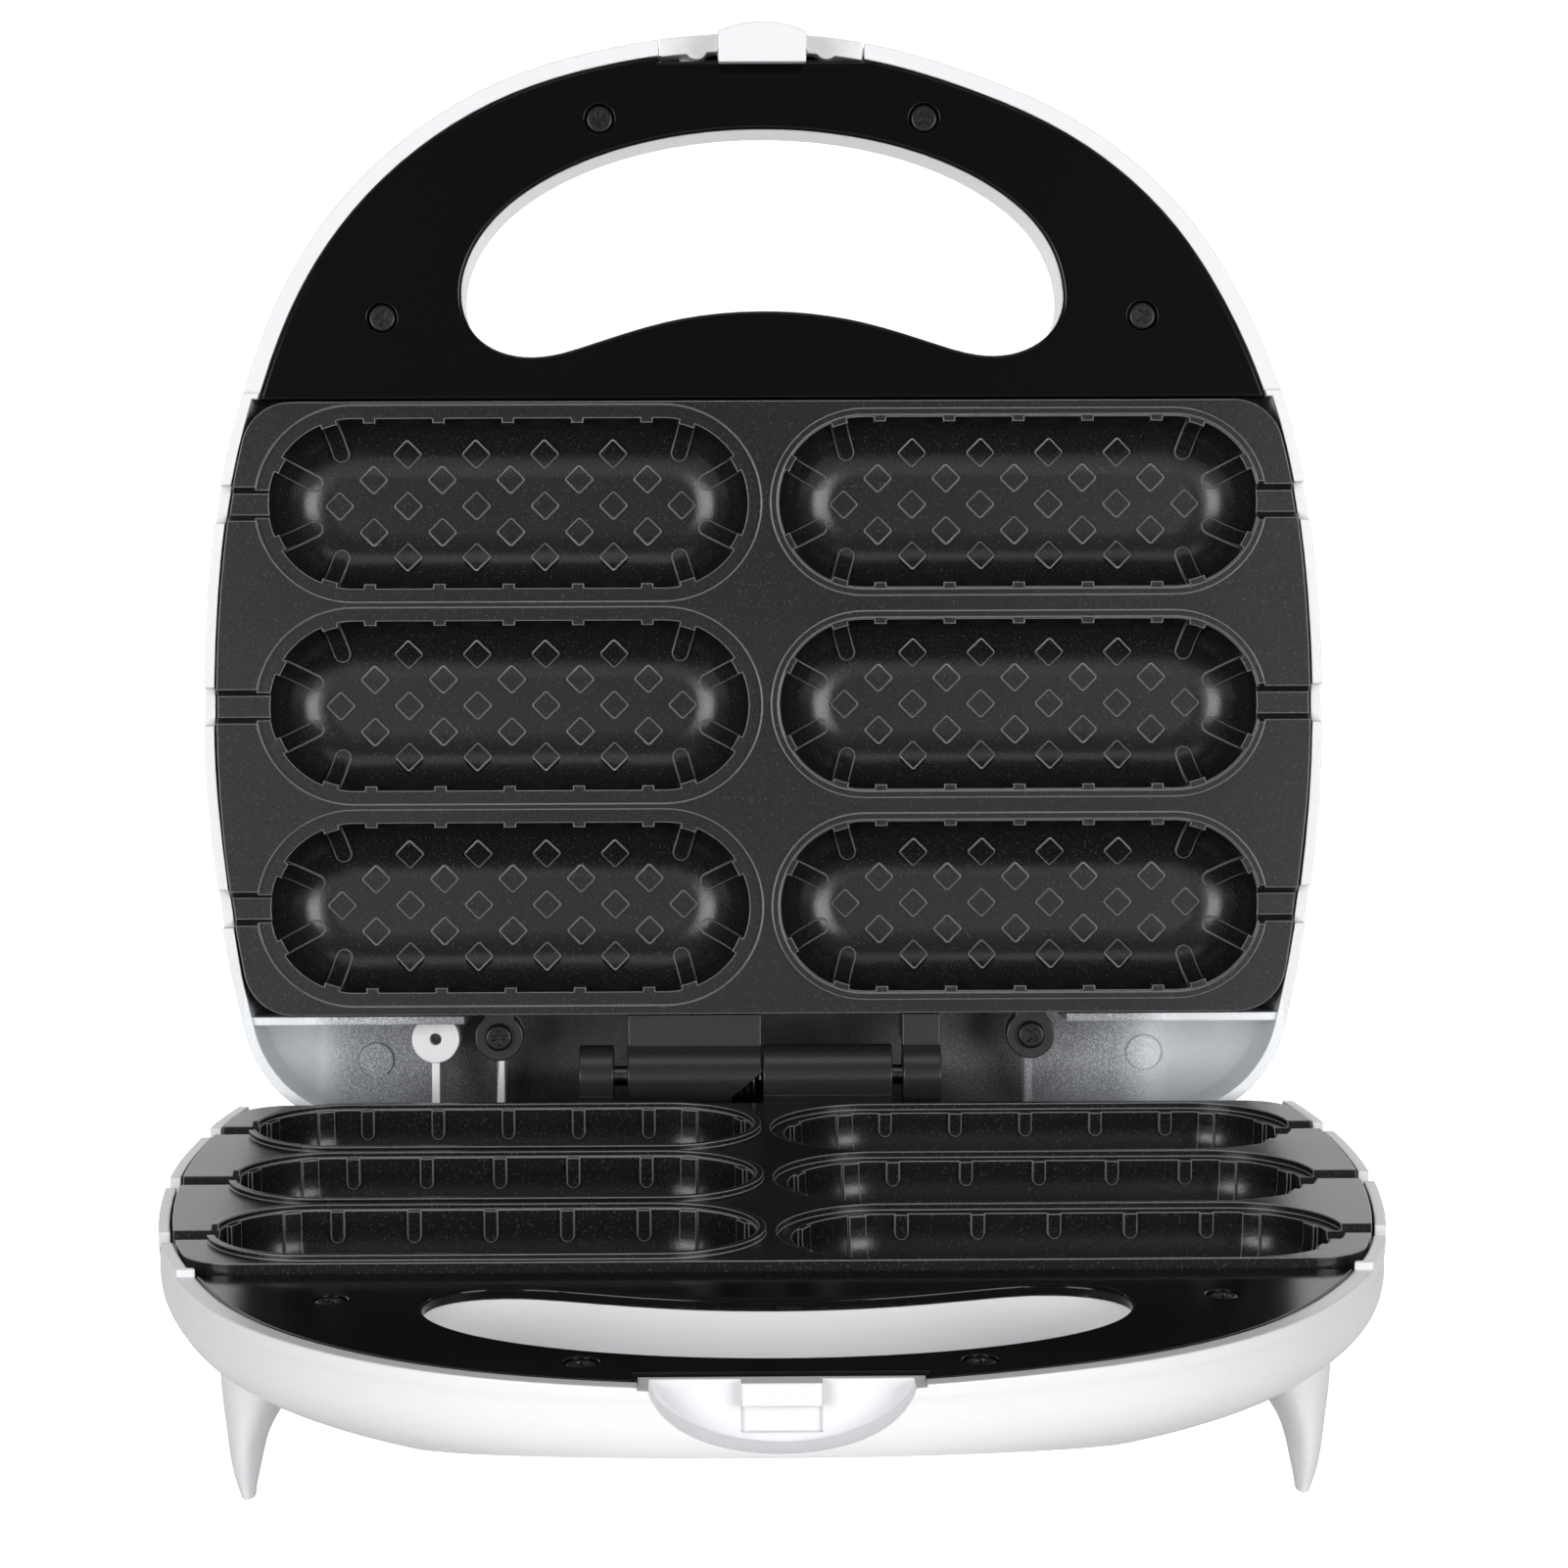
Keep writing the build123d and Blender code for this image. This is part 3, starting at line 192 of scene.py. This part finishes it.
def set_world(fill):
    world = bpy.data.worlds.new("white_room")
    world.use_nodes = True
    scene.world = world
    ground = world.node_tree.nodes["Background"]
    ground.inputs["Color"].default_value = (1.0, 1.0, 1.0, 1.0)
    ground.inputs["Strength"].default_value = fill


set_world(room_fill)
print("panels", len(panels), "room fill", room_fill)

# %% [markdown]
# Most finishes share a fine grain, as moulding and casting leave it, and faint uneven gloss from handling.
# A node group holds that effect once. It gives out values only, so every material sets its own amount.

# %% Shared grain
grain_depth = 0.00008
handling_scale = 22.0


def new_group(name, sockets_in, sockets_out):
    group = bpy.data.node_groups.new(name, "ShaderNodeTree")
    for label, kind, value in sockets_in:
        socket = group.interface.new_socket(label, in_out="INPUT", socket_type=kind)
        if value is not None:
            socket.default_value = value
    for label, kind in sockets_out:
        group.interface.new_socket(label, in_out="OUTPUT", socket_type=kind)
    return group, group.nodes.new("NodeGroupInput"), group.nodes.new("NodeGroupOutput")


def noise_node(tree, place, scale, detail):
    noise = tree.nodes.new("ShaderNodeTexNoise")
    noise.inputs["Detail"].default_value = detail
    if isinstance(scale, (int, float)):
        noise.inputs["Scale"].default_value = scale
    else:
        tree.links.new(scale, noise.inputs["Scale"])
    tree.links.new(place, noise.inputs["Vector"])
    return noise.outputs["Fac"]


def grain_group():
    number = "NodeSocketFloat"
    group, gin, gout = new_group(
        "surface_grain",
        [
            ("Scale", number, 900.0),
            ("Amount", number, 0.1),
            ("Gloss Spread", number, 0.05),
            ("Roughness", number, 0.3),
            ("Base Normal", "NodeSocketVector", None),
        ],
        [("Normal", "NodeSocketVector"), ("Roughness", number), ("Mask", number)],
    )
    place = group.nodes.new("ShaderNodeTexCoord").outputs["Object"]
    fine = noise_node(group, place, gin.outputs["Scale"], 3.0)
    wide = noise_node(group, place, handling_scale, 3.0)
    bump = group.nodes.new("ShaderNodeBump")
    bump.inputs["Distance"].default_value = grain_depth
    group.links.new(gin.outputs["Amount"], bump.inputs["Strength"])
    group.links.new(fine, bump.inputs["Height"])
    group.links.new(gin.outputs["Base Normal"], bump.inputs["Normal"])
    centred = math_node(group, "SUBTRACT", wide, 0.5)
    uneven = math_node(group, "MULTIPLY", centred, gin.outputs["Gloss Spread"])
    group.links.new(math_node(group, "ADD", uneven, gin.outputs["Roughness"]), gout.inputs["Roughness"])
    group.links.new(bump.outputs["Normal"], gout.inputs["Normal"])
    group.links.new(fine, gout.inputs["Mask"])
    return group


surface_grain = grain_group()
print("group", surface_grain.name)

# %% [markdown]
# The coating of the plates, the hinge metal and the inside of the lid also show small specks. A second group
# makes them from fine noise cut off near its top.

# %% Shared specks


def speck_group():
    number = "NodeSocketFloat"
    group, gin, gout = new_group(
        "pale_specks",
        [("Scale", number, 3000.0), ("Cut", number, 0.62), ("Softness", number, 0.06)],
        [("Specks", number)],
    )
    place = group.nodes.new("ShaderNodeTexCoord").outputs["Object"]
    points = noise_node(group, place, gin.outputs["Scale"], 1.0)
    over = math_node(group, "SUBTRACT", points, gin.outputs["Cut"])
    group.links.new(math_node(group, "DIVIDE", over, gin.outputs["Softness"], True), gout.inputs["Specks"])
    return group


pale_specks = speck_group()
print("group", pale_specks.name)

# %% [markdown]
# Real moulded and cast edges have a small radius that catches the light, and on a coated plate they are
# painted a little paler: partly wear, partly a painted highlight. The shader's Bevel node gives the rounded
# normal without touching the imported shape. A third group compares it with the flat normal: where they differ
# there is an edge, and the mask of wear and painted highlight grows.

# %% Shared edge wear and painted highlight
breakup_scale = 400.0


def wear_highlight_group():
    number, vector = "NodeSocketFloat", "NodeSocketVector"
    group, gin, gout = new_group(
        "edge_wear_highlight",
        [
            ("Rounded", vector, None),
            ("Flat", vector, None),
            ("Reach", number, 0.25),
            ("Breakup", number, 0.3),
        ],
        [("Mask", number)],
    )
    agree = group.nodes.new("ShaderNodeVectorMath")
    agree.operation = "DOT_PRODUCT"
    group.links.new(gin.outputs["Rounded"], agree.inputs[0])
    group.links.new(gin.outputs["Flat"], agree.inputs[1])
    differ = math_node(group, "SUBTRACT", 1.0, agree.outputs["Value"])
    place = group.nodes.new("ShaderNodeTexCoord").outputs["Object"]
    patches = noise_node(group, place, breakup_scale, 3.0)
    broken = math_node(group, "MULTIPLY", patches, gin.outputs["Breakup"])
    level = math_node(group, "DIVIDE", differ, gin.outputs["Reach"])
    group.links.new(math_node(group, "SUBTRACT", level, broken, True), gout.inputs["Mask"])
    return group


edge_wear_highlight = wear_highlight_group()
print("group", edge_wear_highlight.name)

# %% [markdown]
# Each finish is one material with a plain name. Its colour moves a little between two shades by the grain,
# and specks of a third colour can be laid over it. Everything that is the same all over a surface is set on
# the shader's own socket, so that it survives the export.

# %% Finishes
bevel_samples = 6
worn_polish = 0.08


def place_group(tree, group, **values):
    node = tree.nodes.new("ShaderNodeGroup")
    node.node_tree = group
    for label, value in values.items():
        node.inputs[label.replace("_", " ")].default_value = value
    return node


def mix_colour(tree, factor, first, second):
    mix = tree.nodes.new("ShaderNodeMix")
    mix.data_type = "RGBA"
    tree.links.new(factor, mix.inputs["Factor"])
    for label, value in (("A", first), ("B", second)):
        if isinstance(value, tuple):
            mix.inputs[label].default_value = (*value, 1.0)
        else:
            tree.links.new(value, mix.inputs[label])
    return mix.outputs["Result"]


def edge_normal(tree, radius):
    if not radius:
        return tree.nodes.new("ShaderNodeNewGeometry").outputs["Normal"]
    rounded = tree.nodes.new("ShaderNodeBevel")
    rounded.samples = bevel_samples
    rounded.inputs["Radius"].default_value = radius
    return rounded.outputs["Normal"]


def finish(
    name,
    color,
    rough,
    grain=(900.0, 0.1),
    spread=0.06,
    shade=0.04,
    metal=0.0,
    specks=None,
    edge=0.0,
    wear=None,
    **extra,
):
    mat = bpy.data.materials.new(name)
    mat.use_nodes = True
    tree = mat.node_tree
    shader = tree.nodes["Principled BSDF"]
    normal = edge_normal(tree, edge)
    grain_values = dict(Scale=grain[0], Amount=grain[1], Gloss_Spread=spread, Roughness=rough)
    grainy = place_group(tree, surface_grain, **grain_values)
    tree.links.new(normal, grainy.inputs["Base Normal"])
    darker = tuple(c * (1 - shade) for c in color)
    lighter = tuple(min(1.0, c * (1 + shade)) for c in color)
    paint = mix_colour(tree, grainy.outputs["Mask"], darker, lighter)
    gloss = grainy.outputs["Roughness"]
    if specks:
        speckled = place_group(tree, pale_specks, Scale=specks[1], Cut=specks[2])
        paint = mix_colour(tree, speckled.outputs["Specks"], paint, specks[0])
    # The edge mask pales the colour: partly wear, partly a painted highlight on rounded rims.
    if wear:
        worn_highlight = place_group(tree, edge_wear_highlight, Reach=wear[1], Breakup=wear[2])
        tree.links.new(normal, worn_highlight.inputs["Rounded"])
        tree.links.new(tree.nodes.new("ShaderNodeNewGeometry").outputs["True Normal"], worn_highlight.inputs["Flat"])
        paint = mix_colour(tree, worn_highlight.outputs["Mask"], paint, wear[0])
        polish = math_node(tree, "MULTIPLY", worn_highlight.outputs["Mask"], worn_polish)
        gloss = math_node(tree, "SUBTRACT", gloss, polish)
    tree.links.new(paint, shader.inputs["Base Color"])
    tree.links.new(gloss, shader.inputs["Roughness"])
    tree.links.new(grainy.outputs["Normal"], shader.inputs["Normal"])
    shader.inputs["Metallic"].default_value = metal
    for socket, value in extra.items():
        shader.inputs[socket.replace("_", " ")].default_value = value
    return mat


grey_speck = (0.03, 0.03, 0.032)
# Pale edge grey, partly wear and partly a painted highlight.
worn_highlight_grey = (0.3, 0.3, 0.305)
coating = dict(
    grain=(1500.0, 0.25),
    spread=0.08,
    shade=0.3,
    specks=(grey_speck, 2200.0, 0.63),
    edge=0.0004,
    wear=(worn_highlight_grey, 0.12, 0.3),
    Specular_IOR_Level=0.4,
)
moulded = dict(grain=(700.0, 0.05), shade=0.01, edge=0.0006)
polished = dict(grain=(900.0, 0.04), Specular_IOR_Level=0.2)
cast = dict(grain=(1200.0, 0.2), spread=0.08, shade=0.3, metal=0.2, specks=(grey_speck, 2200.0, 0.66))
finishes = {
    "white_plastic": finish("white_plastic", (0.71, 0.715, 0.73), 0.24, **moulded),
    "black_plastic": finish("black_plastic", (0.002, 0.002, 0.0022), 0.14, **polished),
    "nonstick_plate": finish("nonstick_plate", (0.008, 0.008, 0.0083), 0.25, **coating),
    "hinge_black": finish("hinge_black", (0.02, 0.02, 0.021), 0.26, **cast),
    "black_screws": finish("black_screws", (0.012, 0.012, 0.013), 0.3, metal=0.5),
    "ceramic": finish("ceramic", (0.8, 0.77, 0.7), 0.6),
    "gland_plastic": finish("gland_plastic", (0.02, 0.02, 0.021), 0.45, (1400.0, 0.4)),
    "terminal_plastic": finish("terminal_plastic", (0.72, 0.72, 0.67), 0.4),
    "lead_sleeve": finish("lead_sleeve", (0.78, 0.75, 0.68), 0.8, (2500.0, 0.8)),
    "red_lens": finish("red_lens", (0.6, 0.012, 0.012), 0.12),
    "green_lens": finish("green_lens", (0.012, 0.4, 0.05), 0.12),
    "bulb_glass": finish("bulb_glass", (0.85, 0.85, 0.83), 0.08),
    "holder_plastic": finish("holder_plastic", (0.8, 0.8, 0.77), 0.4),
}
metals = {
    "bright_screws": ((0.62, 0.62, 0.6), 0.3),
    "pin_steel": ((0.1, 0.1, 0.105), 0.34),
    "spring_steel": ((0.35, 0.35, 0.36), 0.3),
    "heater_sheath": ((0.30, 0.28, 0.26), 0.4),
    "tab_metal": ((0.6, 0.6, 0.58), 0.3),
    "reflector_sheet": ((0.75, 0.76, 0.77), 0.3),
    "terminal_brass": ((0.6, 0.43, 0.17), 0.3),
    "thermostat_case": ((0.5, 0.5, 0.48), 0.3),
    "fuse_case": ((0.55, 0.4, 0.18), 0.3),
}
for name, (color, rough) in metals.items():
    finishes[name] = finish(name, color, rough, metal=1.0)
print("finishes", len(finishes))

# %% [markdown]
# Seen through the gap behind the hinge, the inside of the lid isn't clean white, because it lies in deep
# shade, and that shade is painted into its colour: smooth and blue grey at its ends, with a lighter painted
# band near each end, and grey, mottled and speckled towards the middle, where painted shade darkens it. The
# place from left to right, read from Object coordinates, blends those zones, and fine specks break them up.

# %% Inside of the lid
lid_width_m = 0.224
# Levels from left to right are painted light and shade: near white at the ends, a lighter painted band near
# each end, dark in the middle where shade falls.
left_painted_shade = ((0.0, 0.85), (0.085, 0.78), (0.094, 0.9), (0.112, 0.7), (0.16, 0.6), (0.19, 0.4), (0.3, 0.06))
right_painted_shade = (
    (0.63, 0.06), (0.73, 0.3), (0.826, 0.5), (0.839, 0.65), (0.857, 0.85), (0.875, 0.75), (0.924, 0.85),
)
mottle_zone = ((0.09, 0.15), (0.12, 1.0), (0.82, 1.0), (0.87, 0.15))
painted_shade_tint = (0.94, 0.97, 1.0)
mottle_shade = (0.42, 0.42, 0.44, 1.0)
mottle_specks = dict(Scale=3200.0, Cut=0.45, Softness=0.2)
lining_grain = dict(Scale=1500.0, Amount=0.5, Gloss_Spread=0.1, Roughness=0.4)
lining_edge = 0.0005


def ramp(tree, value, stops):
    node = tree.nodes.new("ShaderNodeValToRGB")
    tree.links.new(value, node.inputs["Fac"])
    points = node.color_ramp.elements
    while len(points) < len(stops):
        points.new(0.5)
    for point, (at, level) in zip(points, stops):
        point.position = at
        point.color = (*(level * tint for tint in painted_shade_tint), 1.0)
    return node.outputs["Color"]


def inside_shade_finish():
    mat = bpy.data.materials.new("mottled_inside_painted_shade")
    mat.use_nodes = True
    tree = mat.node_tree
    shader = tree.nodes["Principled BSDF"]
    apart = tree.nodes.new("ShaderNodeSeparateXYZ")
    tree.links.new(tree.nodes.new("ShaderNodeTexCoord").outputs["Object"], apart.inputs[0])
    across = math_node(tree, "ADD", math_node(tree, "DIVIDE", apart.outputs["X"], lid_width_m), 0.5)
    # Painted shade: the levels darken the inside towards the middle, and the tint makes it blue grey.
    shade_zones = ramp(tree, across, left_painted_shade + right_painted_shade)
    speckled = place_group(tree, pale_specks, **mottle_specks)
    dark = tree.nodes.new("ShaderNodeMix")
    dark.data_type = "RGBA"
    dark.blend_type = "MULTIPLY"
    dark.inputs["B"].default_value = mottle_shade
    tree.links.new(shade_zones, dark.inputs["A"])
    mottle = math_node(tree, "SUBTRACT", 1.0, speckled.outputs["Specks"])
    fade = ramp(tree, across, mottle_zone)
    tree.links.new(math_node(tree, "MULTIPLY", mottle, fade), dark.inputs["Factor"])
    tree.links.new(dark.outputs["Result"], shader.inputs["Base Color"])
    grainy = place_group(tree, surface_grain, **lining_grain)
    tree.links.new(edge_normal(tree, lining_edge), grainy.inputs["Base Normal"])
    tree.links.new(grainy.outputs["Roughness"], shader.inputs["Roughness"])
    tree.links.new(grainy.outputs["Normal"], shader.inputs["Normal"])
    return mat


mottled_inside_painted_shade = inside_shade_finish()
print("finish", mottled_inside_painted_shade.name)

# %% [markdown]
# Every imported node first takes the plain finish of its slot. Pieces that nobody sees, such as the heaters,
# stay like that: their shapes are right already.

# %% Each node takes the finish of its slot
slot_of = {part["node"]: part["material_slot"] for part in frame["record"]["subparts"]}
for name, slot in slot_of.items():
    nodes[name].data.materials.clear()
    nodes[name].data.materials.append(finishes[slot])
print("slots", len(set(slot_of.values())))

# %% [markdown]
# The base moulding and the two plates are right as they are: their packed faces are fine, they carry the
# true normals of their curved surfaces, and the Bevel node of their finish rounds their edges. Pieces that
# need more are copied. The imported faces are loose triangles, so a copy has its doubles merged, and it keeps
# the true normals in an attribute while that is done.

# %% Copy a node and merge it
merge_distance = 5e-6


def merged_copy(node, flat=None):
    mesh = nodes[node].data.copy()
    true = mesh.attributes.new("true_normal", "FLOAT_VECTOR", "CORNER")
    true.data.foreach_set("vector", [c for corner in mesh.corner_normals for c in corner.vector])
    bm = bmesh.new()
    bm.from_mesh(mesh)
    bmesh.ops.remove_doubles(bm, verts=bm.verts, dist=merge_distance)
    if flat:
        bmesh.ops.dissolve_limit(bm, angle_limit=math.radians(flat), verts=bm.verts, edges=bm.edges)
    for face in bm.faces:
        face.smooth = True
    bm.to_mesh(mesh)
    bm.free()
    if not flat:
        kept = [tuple(corner.vector) for corner in mesh.attributes["true_normal"].data]
        mesh.normals_split_custom_set(kept)
    mesh.attributes.remove(mesh.attributes["true_normal"])
    return mesh


def to_plain_mesh(piece, name):
    graph = bpy.context.evaluated_depsgraph_get()
    piece.data = bpy.data.meshes.new_from_object(piece.evaluated_get(graph))
    piece.modifiers.clear()
    piece.data.name = name
    piece.data.calc_loop_triangles()
    print(name, "triangles", len(piece.data.loop_triangles))


def stand_for(piece, node, body):
    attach(piece, body)
    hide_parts(node)
    return piece


lid_moulding = bpy.data.objects.new("lid_moulding", merged_copy("lid_shell"))
scene.collection.objects.link(lid_moulding)
stand_for(lid_moulding, "lid_shell", "lid")
print("lid moulding faces", len(lid_moulding.data.polygons))

# %% [markdown]
# The liners, the latch, the gland and the hinge halves are simpler, with clean corners. They get a true
# narrow bevel, two faces wide, which also rounds their outline. Joining their flat triangles first keeps that
# bevel even.

# %% Soft edges for the liners, latch, hinge and gland
moulded_edge, screw_edge = 0.0003, 0.00012
bevel_faces, corner_angle, flat_angle = 2, 30.0, 0.3
face_weight = 60


def add_bevel(piece, edge):
    bevel = piece.modifiers.new("soft_edges", "BEVEL")
    bevel.width = edge
    bevel.segments = bevel_faces
    bevel.limit_method = "ANGLE"
    bevel.angle_limit = math.radians(corner_angle)
    bevel.use_clamp_overlap = False
    even = piece.modifiers.new("flat_normals", "WEIGHTED_NORMAL")
    even.weight = face_weight
    even.keep_sharp = True


def soften(node, name, body):
    piece = bpy.data.objects.new(name, merged_copy(node, flat_angle))
    scene.collection.objects.link(piece)
    add_bevel(piece, moulded_edge)
    to_plain_mesh(piece, name)
    return stand_for(piece, node, body)


softened = [
    ("latch", "latch_moulding", "latch"),
    ("base_handle_liner", "base_liner", "base"),
    ("lid_handle_liner", "lid_liner", "lid"),
    ("base_hinge_bracket", "base_hinge_half", "base"),
    ("lid_hinge_bracket", "lid_hinge_half", "lid"),
    ("cord_gland", "cord_gland_moulding", "base"),
]
for node, name, body in softened:
    soften(node, name, body)

# %% [markdown]
# The screws repeat, so Geometry Nodes set them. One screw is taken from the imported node, moved to the origin
# with its head up and its edges softened. Each place carries the direction of its head and a turn of its
# cross recess, because nobody drives four screws to the same angle. The tree stands a copy of the screw at
# every place.

# %% Geometry Nodes tree for the screws


def screw_tree():
    tree = bpy.data.node_groups.new("set_screws", "GeometryNodeTree")
    sockets_in = (("Places", "Geometry"), ("Screw", "Object"), ("Size", "Float"), ("Finish", "Material"))
    for label, kind in sockets_in:
        tree.interface.new_socket(label, in_out="INPUT", socket_type="NodeSocket" + kind)
    tree.interface.new_socket("Screws", in_out="OUTPUT", socket_type="NodeSocketGeometry")
    new, link = tree.nodes.new, tree.links.new
    gin, gout = new("NodeGroupInput"), new("NodeGroupOutput")
    aim = new("GeometryNodeInputNamedAttribute")
    aim.data_type = "FLOAT_VECTOR"
    aim.inputs["Name"].default_value = "aim"
    turn = new("GeometryNodeInputNamedAttribute")
    turn.data_type = "FLOAT"
    turn.inputs["Name"].default_value = "turn"
    upright = new("FunctionNodeAlignRotationToVector")
    upright.axis = "Z"
    link(aim.outputs["Attribute"], upright.inputs["Vector"])
    spin = new("FunctionNodeAxisAngleToRotation")
    spin.inputs["Axis"].default_value = (0.0, 0.0, 1.0)
    link(turn.outputs["Attribute"], spin.inputs["Angle"])
    both = new("FunctionNodeRotateRotation")
    both.rotation_space = "LOCAL"
    link(upright.outputs["Rotation"], both.inputs["Rotation"])
    link(spin.outputs["Rotation"], both.inputs["Rotate By"])
    template = new("GeometryNodeObjectInfo")
    link(gin.outputs["Screw"], template.inputs["Object"])
    copies = new("GeometryNodeInstanceOnPoints")
    link(gin.outputs["Places"], copies.inputs["Points"])
    link(template.outputs["Geometry"], copies.inputs["Instance"])
    link(both.outputs["Rotation"], copies.inputs["Rotation"])
    link(gin.outputs["Size"], copies.inputs["Scale"])
    real = new("GeometryNodeRealizeInstances")
    link(copies.outputs["Instances"], real.inputs["Geometry"])
    painted = new("GeometryNodeSetMaterial")
    link(real.outputs["Geometry"], painted.inputs["Geometry"])
    link(gin.outputs["Finish"], painted.inputs["Material"])
    link(painted.outputs["Geometry"], gout.inputs["Screws"])
    return tree


set_screws = screw_tree()
print("tree", set_screws.name, "sockets", [socket.name for socket in set_screws.interface.items_tree])

# %% Find each screw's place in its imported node


def loose_parts(mesh):
    bm = bmesh.new()
    bm.from_mesh(mesh)
    bm.verts.ensure_lookup_table()
    seen, parts = set(), []
    for start in bm.verts:
        if start.index in seen:
            continue
        seen.add(start.index)
        part, todo = [], [start]
        while todo:
            vert = todo.pop()
            part.append(vert.index)
            for edge in vert.link_edges:
                other = edge.other_vert(vert)
                if other.index not in seen:
                    seen.add(other.index)
                    todo.append(other)
        parts.append(part)
    bm.free()
    return parts


def head_place(points, aim):
    side = aim.orthogonal().normalized()
    third = aim.cross(side)
    place = Vector()
    for axis in (side, third):
        along = [p.dot(axis) for p in points]
        place += axis * (min(along) + max(along)) / 2
    return place + aim * max(p.dot(aim) for p in points)


def screw_template(mesh, part, place, aim):
    bm = bmesh.new()
    bm.from_mesh(mesh)
    keep = set(part)
    bmesh.ops.delete(bm, geom=[v for v in bm.verts if v.index not in keep], context="VERTS")
    stand = aim.rotation_difference(Vector((0, 0, 1))).to_matrix().to_4x4()
    bmesh.ops.transform(bm, matrix=stand @ Matrix.Translation(-place), verts=bm.verts)
    one = bpy.data.meshes.new("one_screw")
    bm.to_mesh(one)
    bm.free()
    template = bpy.data.objects.new("one_screw", one)
    scene.collection.objects.link(template)
    add_bevel(template, screw_edge)
    to_plain_mesh(template, "one_screw")
    return template


print("loose parts of the base liner's screws", len(loose_parts(merged_copy("base_liner_screws"))))

# %% Stand the screws in their places


def screw_set(node, name, body, aim, turns):
    mesh = merged_copy(node, flat_angle)
    aim = Vector(aim).normalized()
    parts = loose_parts(mesh)
    spots = [head_place([mesh.vertices[i].co for i in part], aim) for part in parts]
    template = screw_template(mesh, parts[0], spots[0], aim)
    places = bpy.data.meshes.new(name + "_places")
    places.from_pydata(spots, [], [])
    aims = places.attributes.new("aim", "FLOAT_VECTOR", "POINT")
    aims.data.foreach_set("vector", [c for _ in spots for c in aim])
    angles = places.attributes.new("turn", "FLOAT", "POINT")
    angles.data.foreach_set("value", [math.radians(turns[k % len(turns)]) for k in range(len(spots))])
    piece = bpy.data.objects.new(name, places)
    scene.collection.objects.link(piece)
    modifier = piece.modifiers.new("set_screws", "NODES")
    modifier.node_group = set_screws
    given = {"Screw": template, "Size": 1.0, "Finish": finishes[slot_of[node]]}
    for socket in set_screws.interface.items_tree:
        if socket.in_out == "INPUT" and socket.name in given:
            modifier[socket.identifier] = given[socket.name]
    to_plain_mesh(piece, name)
    bpy.data.objects.remove(template)
    return stand_for(piece, node, body)


up, down = (0, 0, 1), (0, 0, -1)
lid_front, lid_back = (0, -0.99027, 0.13917), (0, 0.99027, -0.13917)
screw_sets = [
    ("base_liner_screws", "base_liner_screw_set", "base", up, (20, 65, 38, 80)),
    ("lid_liner_screws", "lid_liner_screw_set", "lid", lid_front, (12, 40, 71, 33)),
    ("base_hinge_screws", "base_hinge_screw_set", "base", up, (30, 75)),
    ("lid_hinge_screws", "lid_hinge_screw_set", "lid", lid_front, (5, 50)),
    ("base_plate_screws", "base_plate_screw_set", "base", down, (15, 62, 34, 88)),
    ("lid_plate_screws", "lid_plate_screw_set", "lid", lid_back, (41, 9, 77, 26)),
]
for screws in screw_sets:
    screw_set(*screws)

# %% [markdown]
# The mottled finish with its painted shade belongs only to the inner side of the lid moulding. Its faces are
# told apart by where they lie and where they look, in the lid's own directions and in millimetres: depth
# behind the parting plane and distance along the lid from the hinge. The white boss and the three thin stems
# stay white.

# %% Inner side of the lid
lid_inner = Vector(lid_front)
lid_outer_way = Vector((0, 0.13917, 0.99027))
hinge_line = Vector((0, 0.0782, 0.0437))
boss_place, boss_reach = (-66.9, 6.8), 34.0 ** 0.5
stem_places, stem_half, stem_depth = (-66.9, -53.7, 45.2), 0.8, 22.0
handle_start = 140.0
gap_depth, skin_depth, lip_depth = 12.0, 2.5, 3.0
rib_reach, lip_reach, ledge_reach = 8.0, 13.0, 5.0
hinge_half, end_start = 20.0, 58.0
facing_in = 0.35


def lid_place(point):
    offset = point - hinge_line
    return offset.x * 1000, offset.dot(lid_outer_way) * 1000, -offset.dot(lid_inner) * 1000


def is_white(x, along, depth, facing):
    if math.dist((x, along), boss_place) < boss_reach or along > handle_start:
        return True
    on_stem = min(abs(x - stem) for stem in stem_places) < stem_half
    return on_stem and along < rib_reach and facing > facing_in and depth < stem_depth


def is_inside(x, along, depth, normal):
    facing = normal.dot(lid_inner)
    if is_white(x, along, depth, facing):
        return False
    reach = lip_reach if depth < lip_depth else rib_reach
    if along < reach and depth < gap_depth and facing > facing_in and abs(x) > hinge_half:
        return True
    if facing > facing_in and depth > gap_depth:
        return True
    if normal.x * math.copysign(1, x) < -0.3 and abs(x) > end_start and depth > skin_depth:
        return True
    return normal.dot(lid_outer_way) > 0.3 and along < ledge_reach and depth > skin_depth


def paint_shade_inside(piece):
    piece.data.materials.append(mottled_inside_painted_shade)
    slot = len(piece.data.materials) - 1
    count = 0
    for face in piece.data.polygons:
        if is_inside(*lid_place(face.center), face.normal):
            face.material_index = slot
            count += 1
    print(piece.name, "inner faces", count)


paint_shade_inside(lid_moulding)
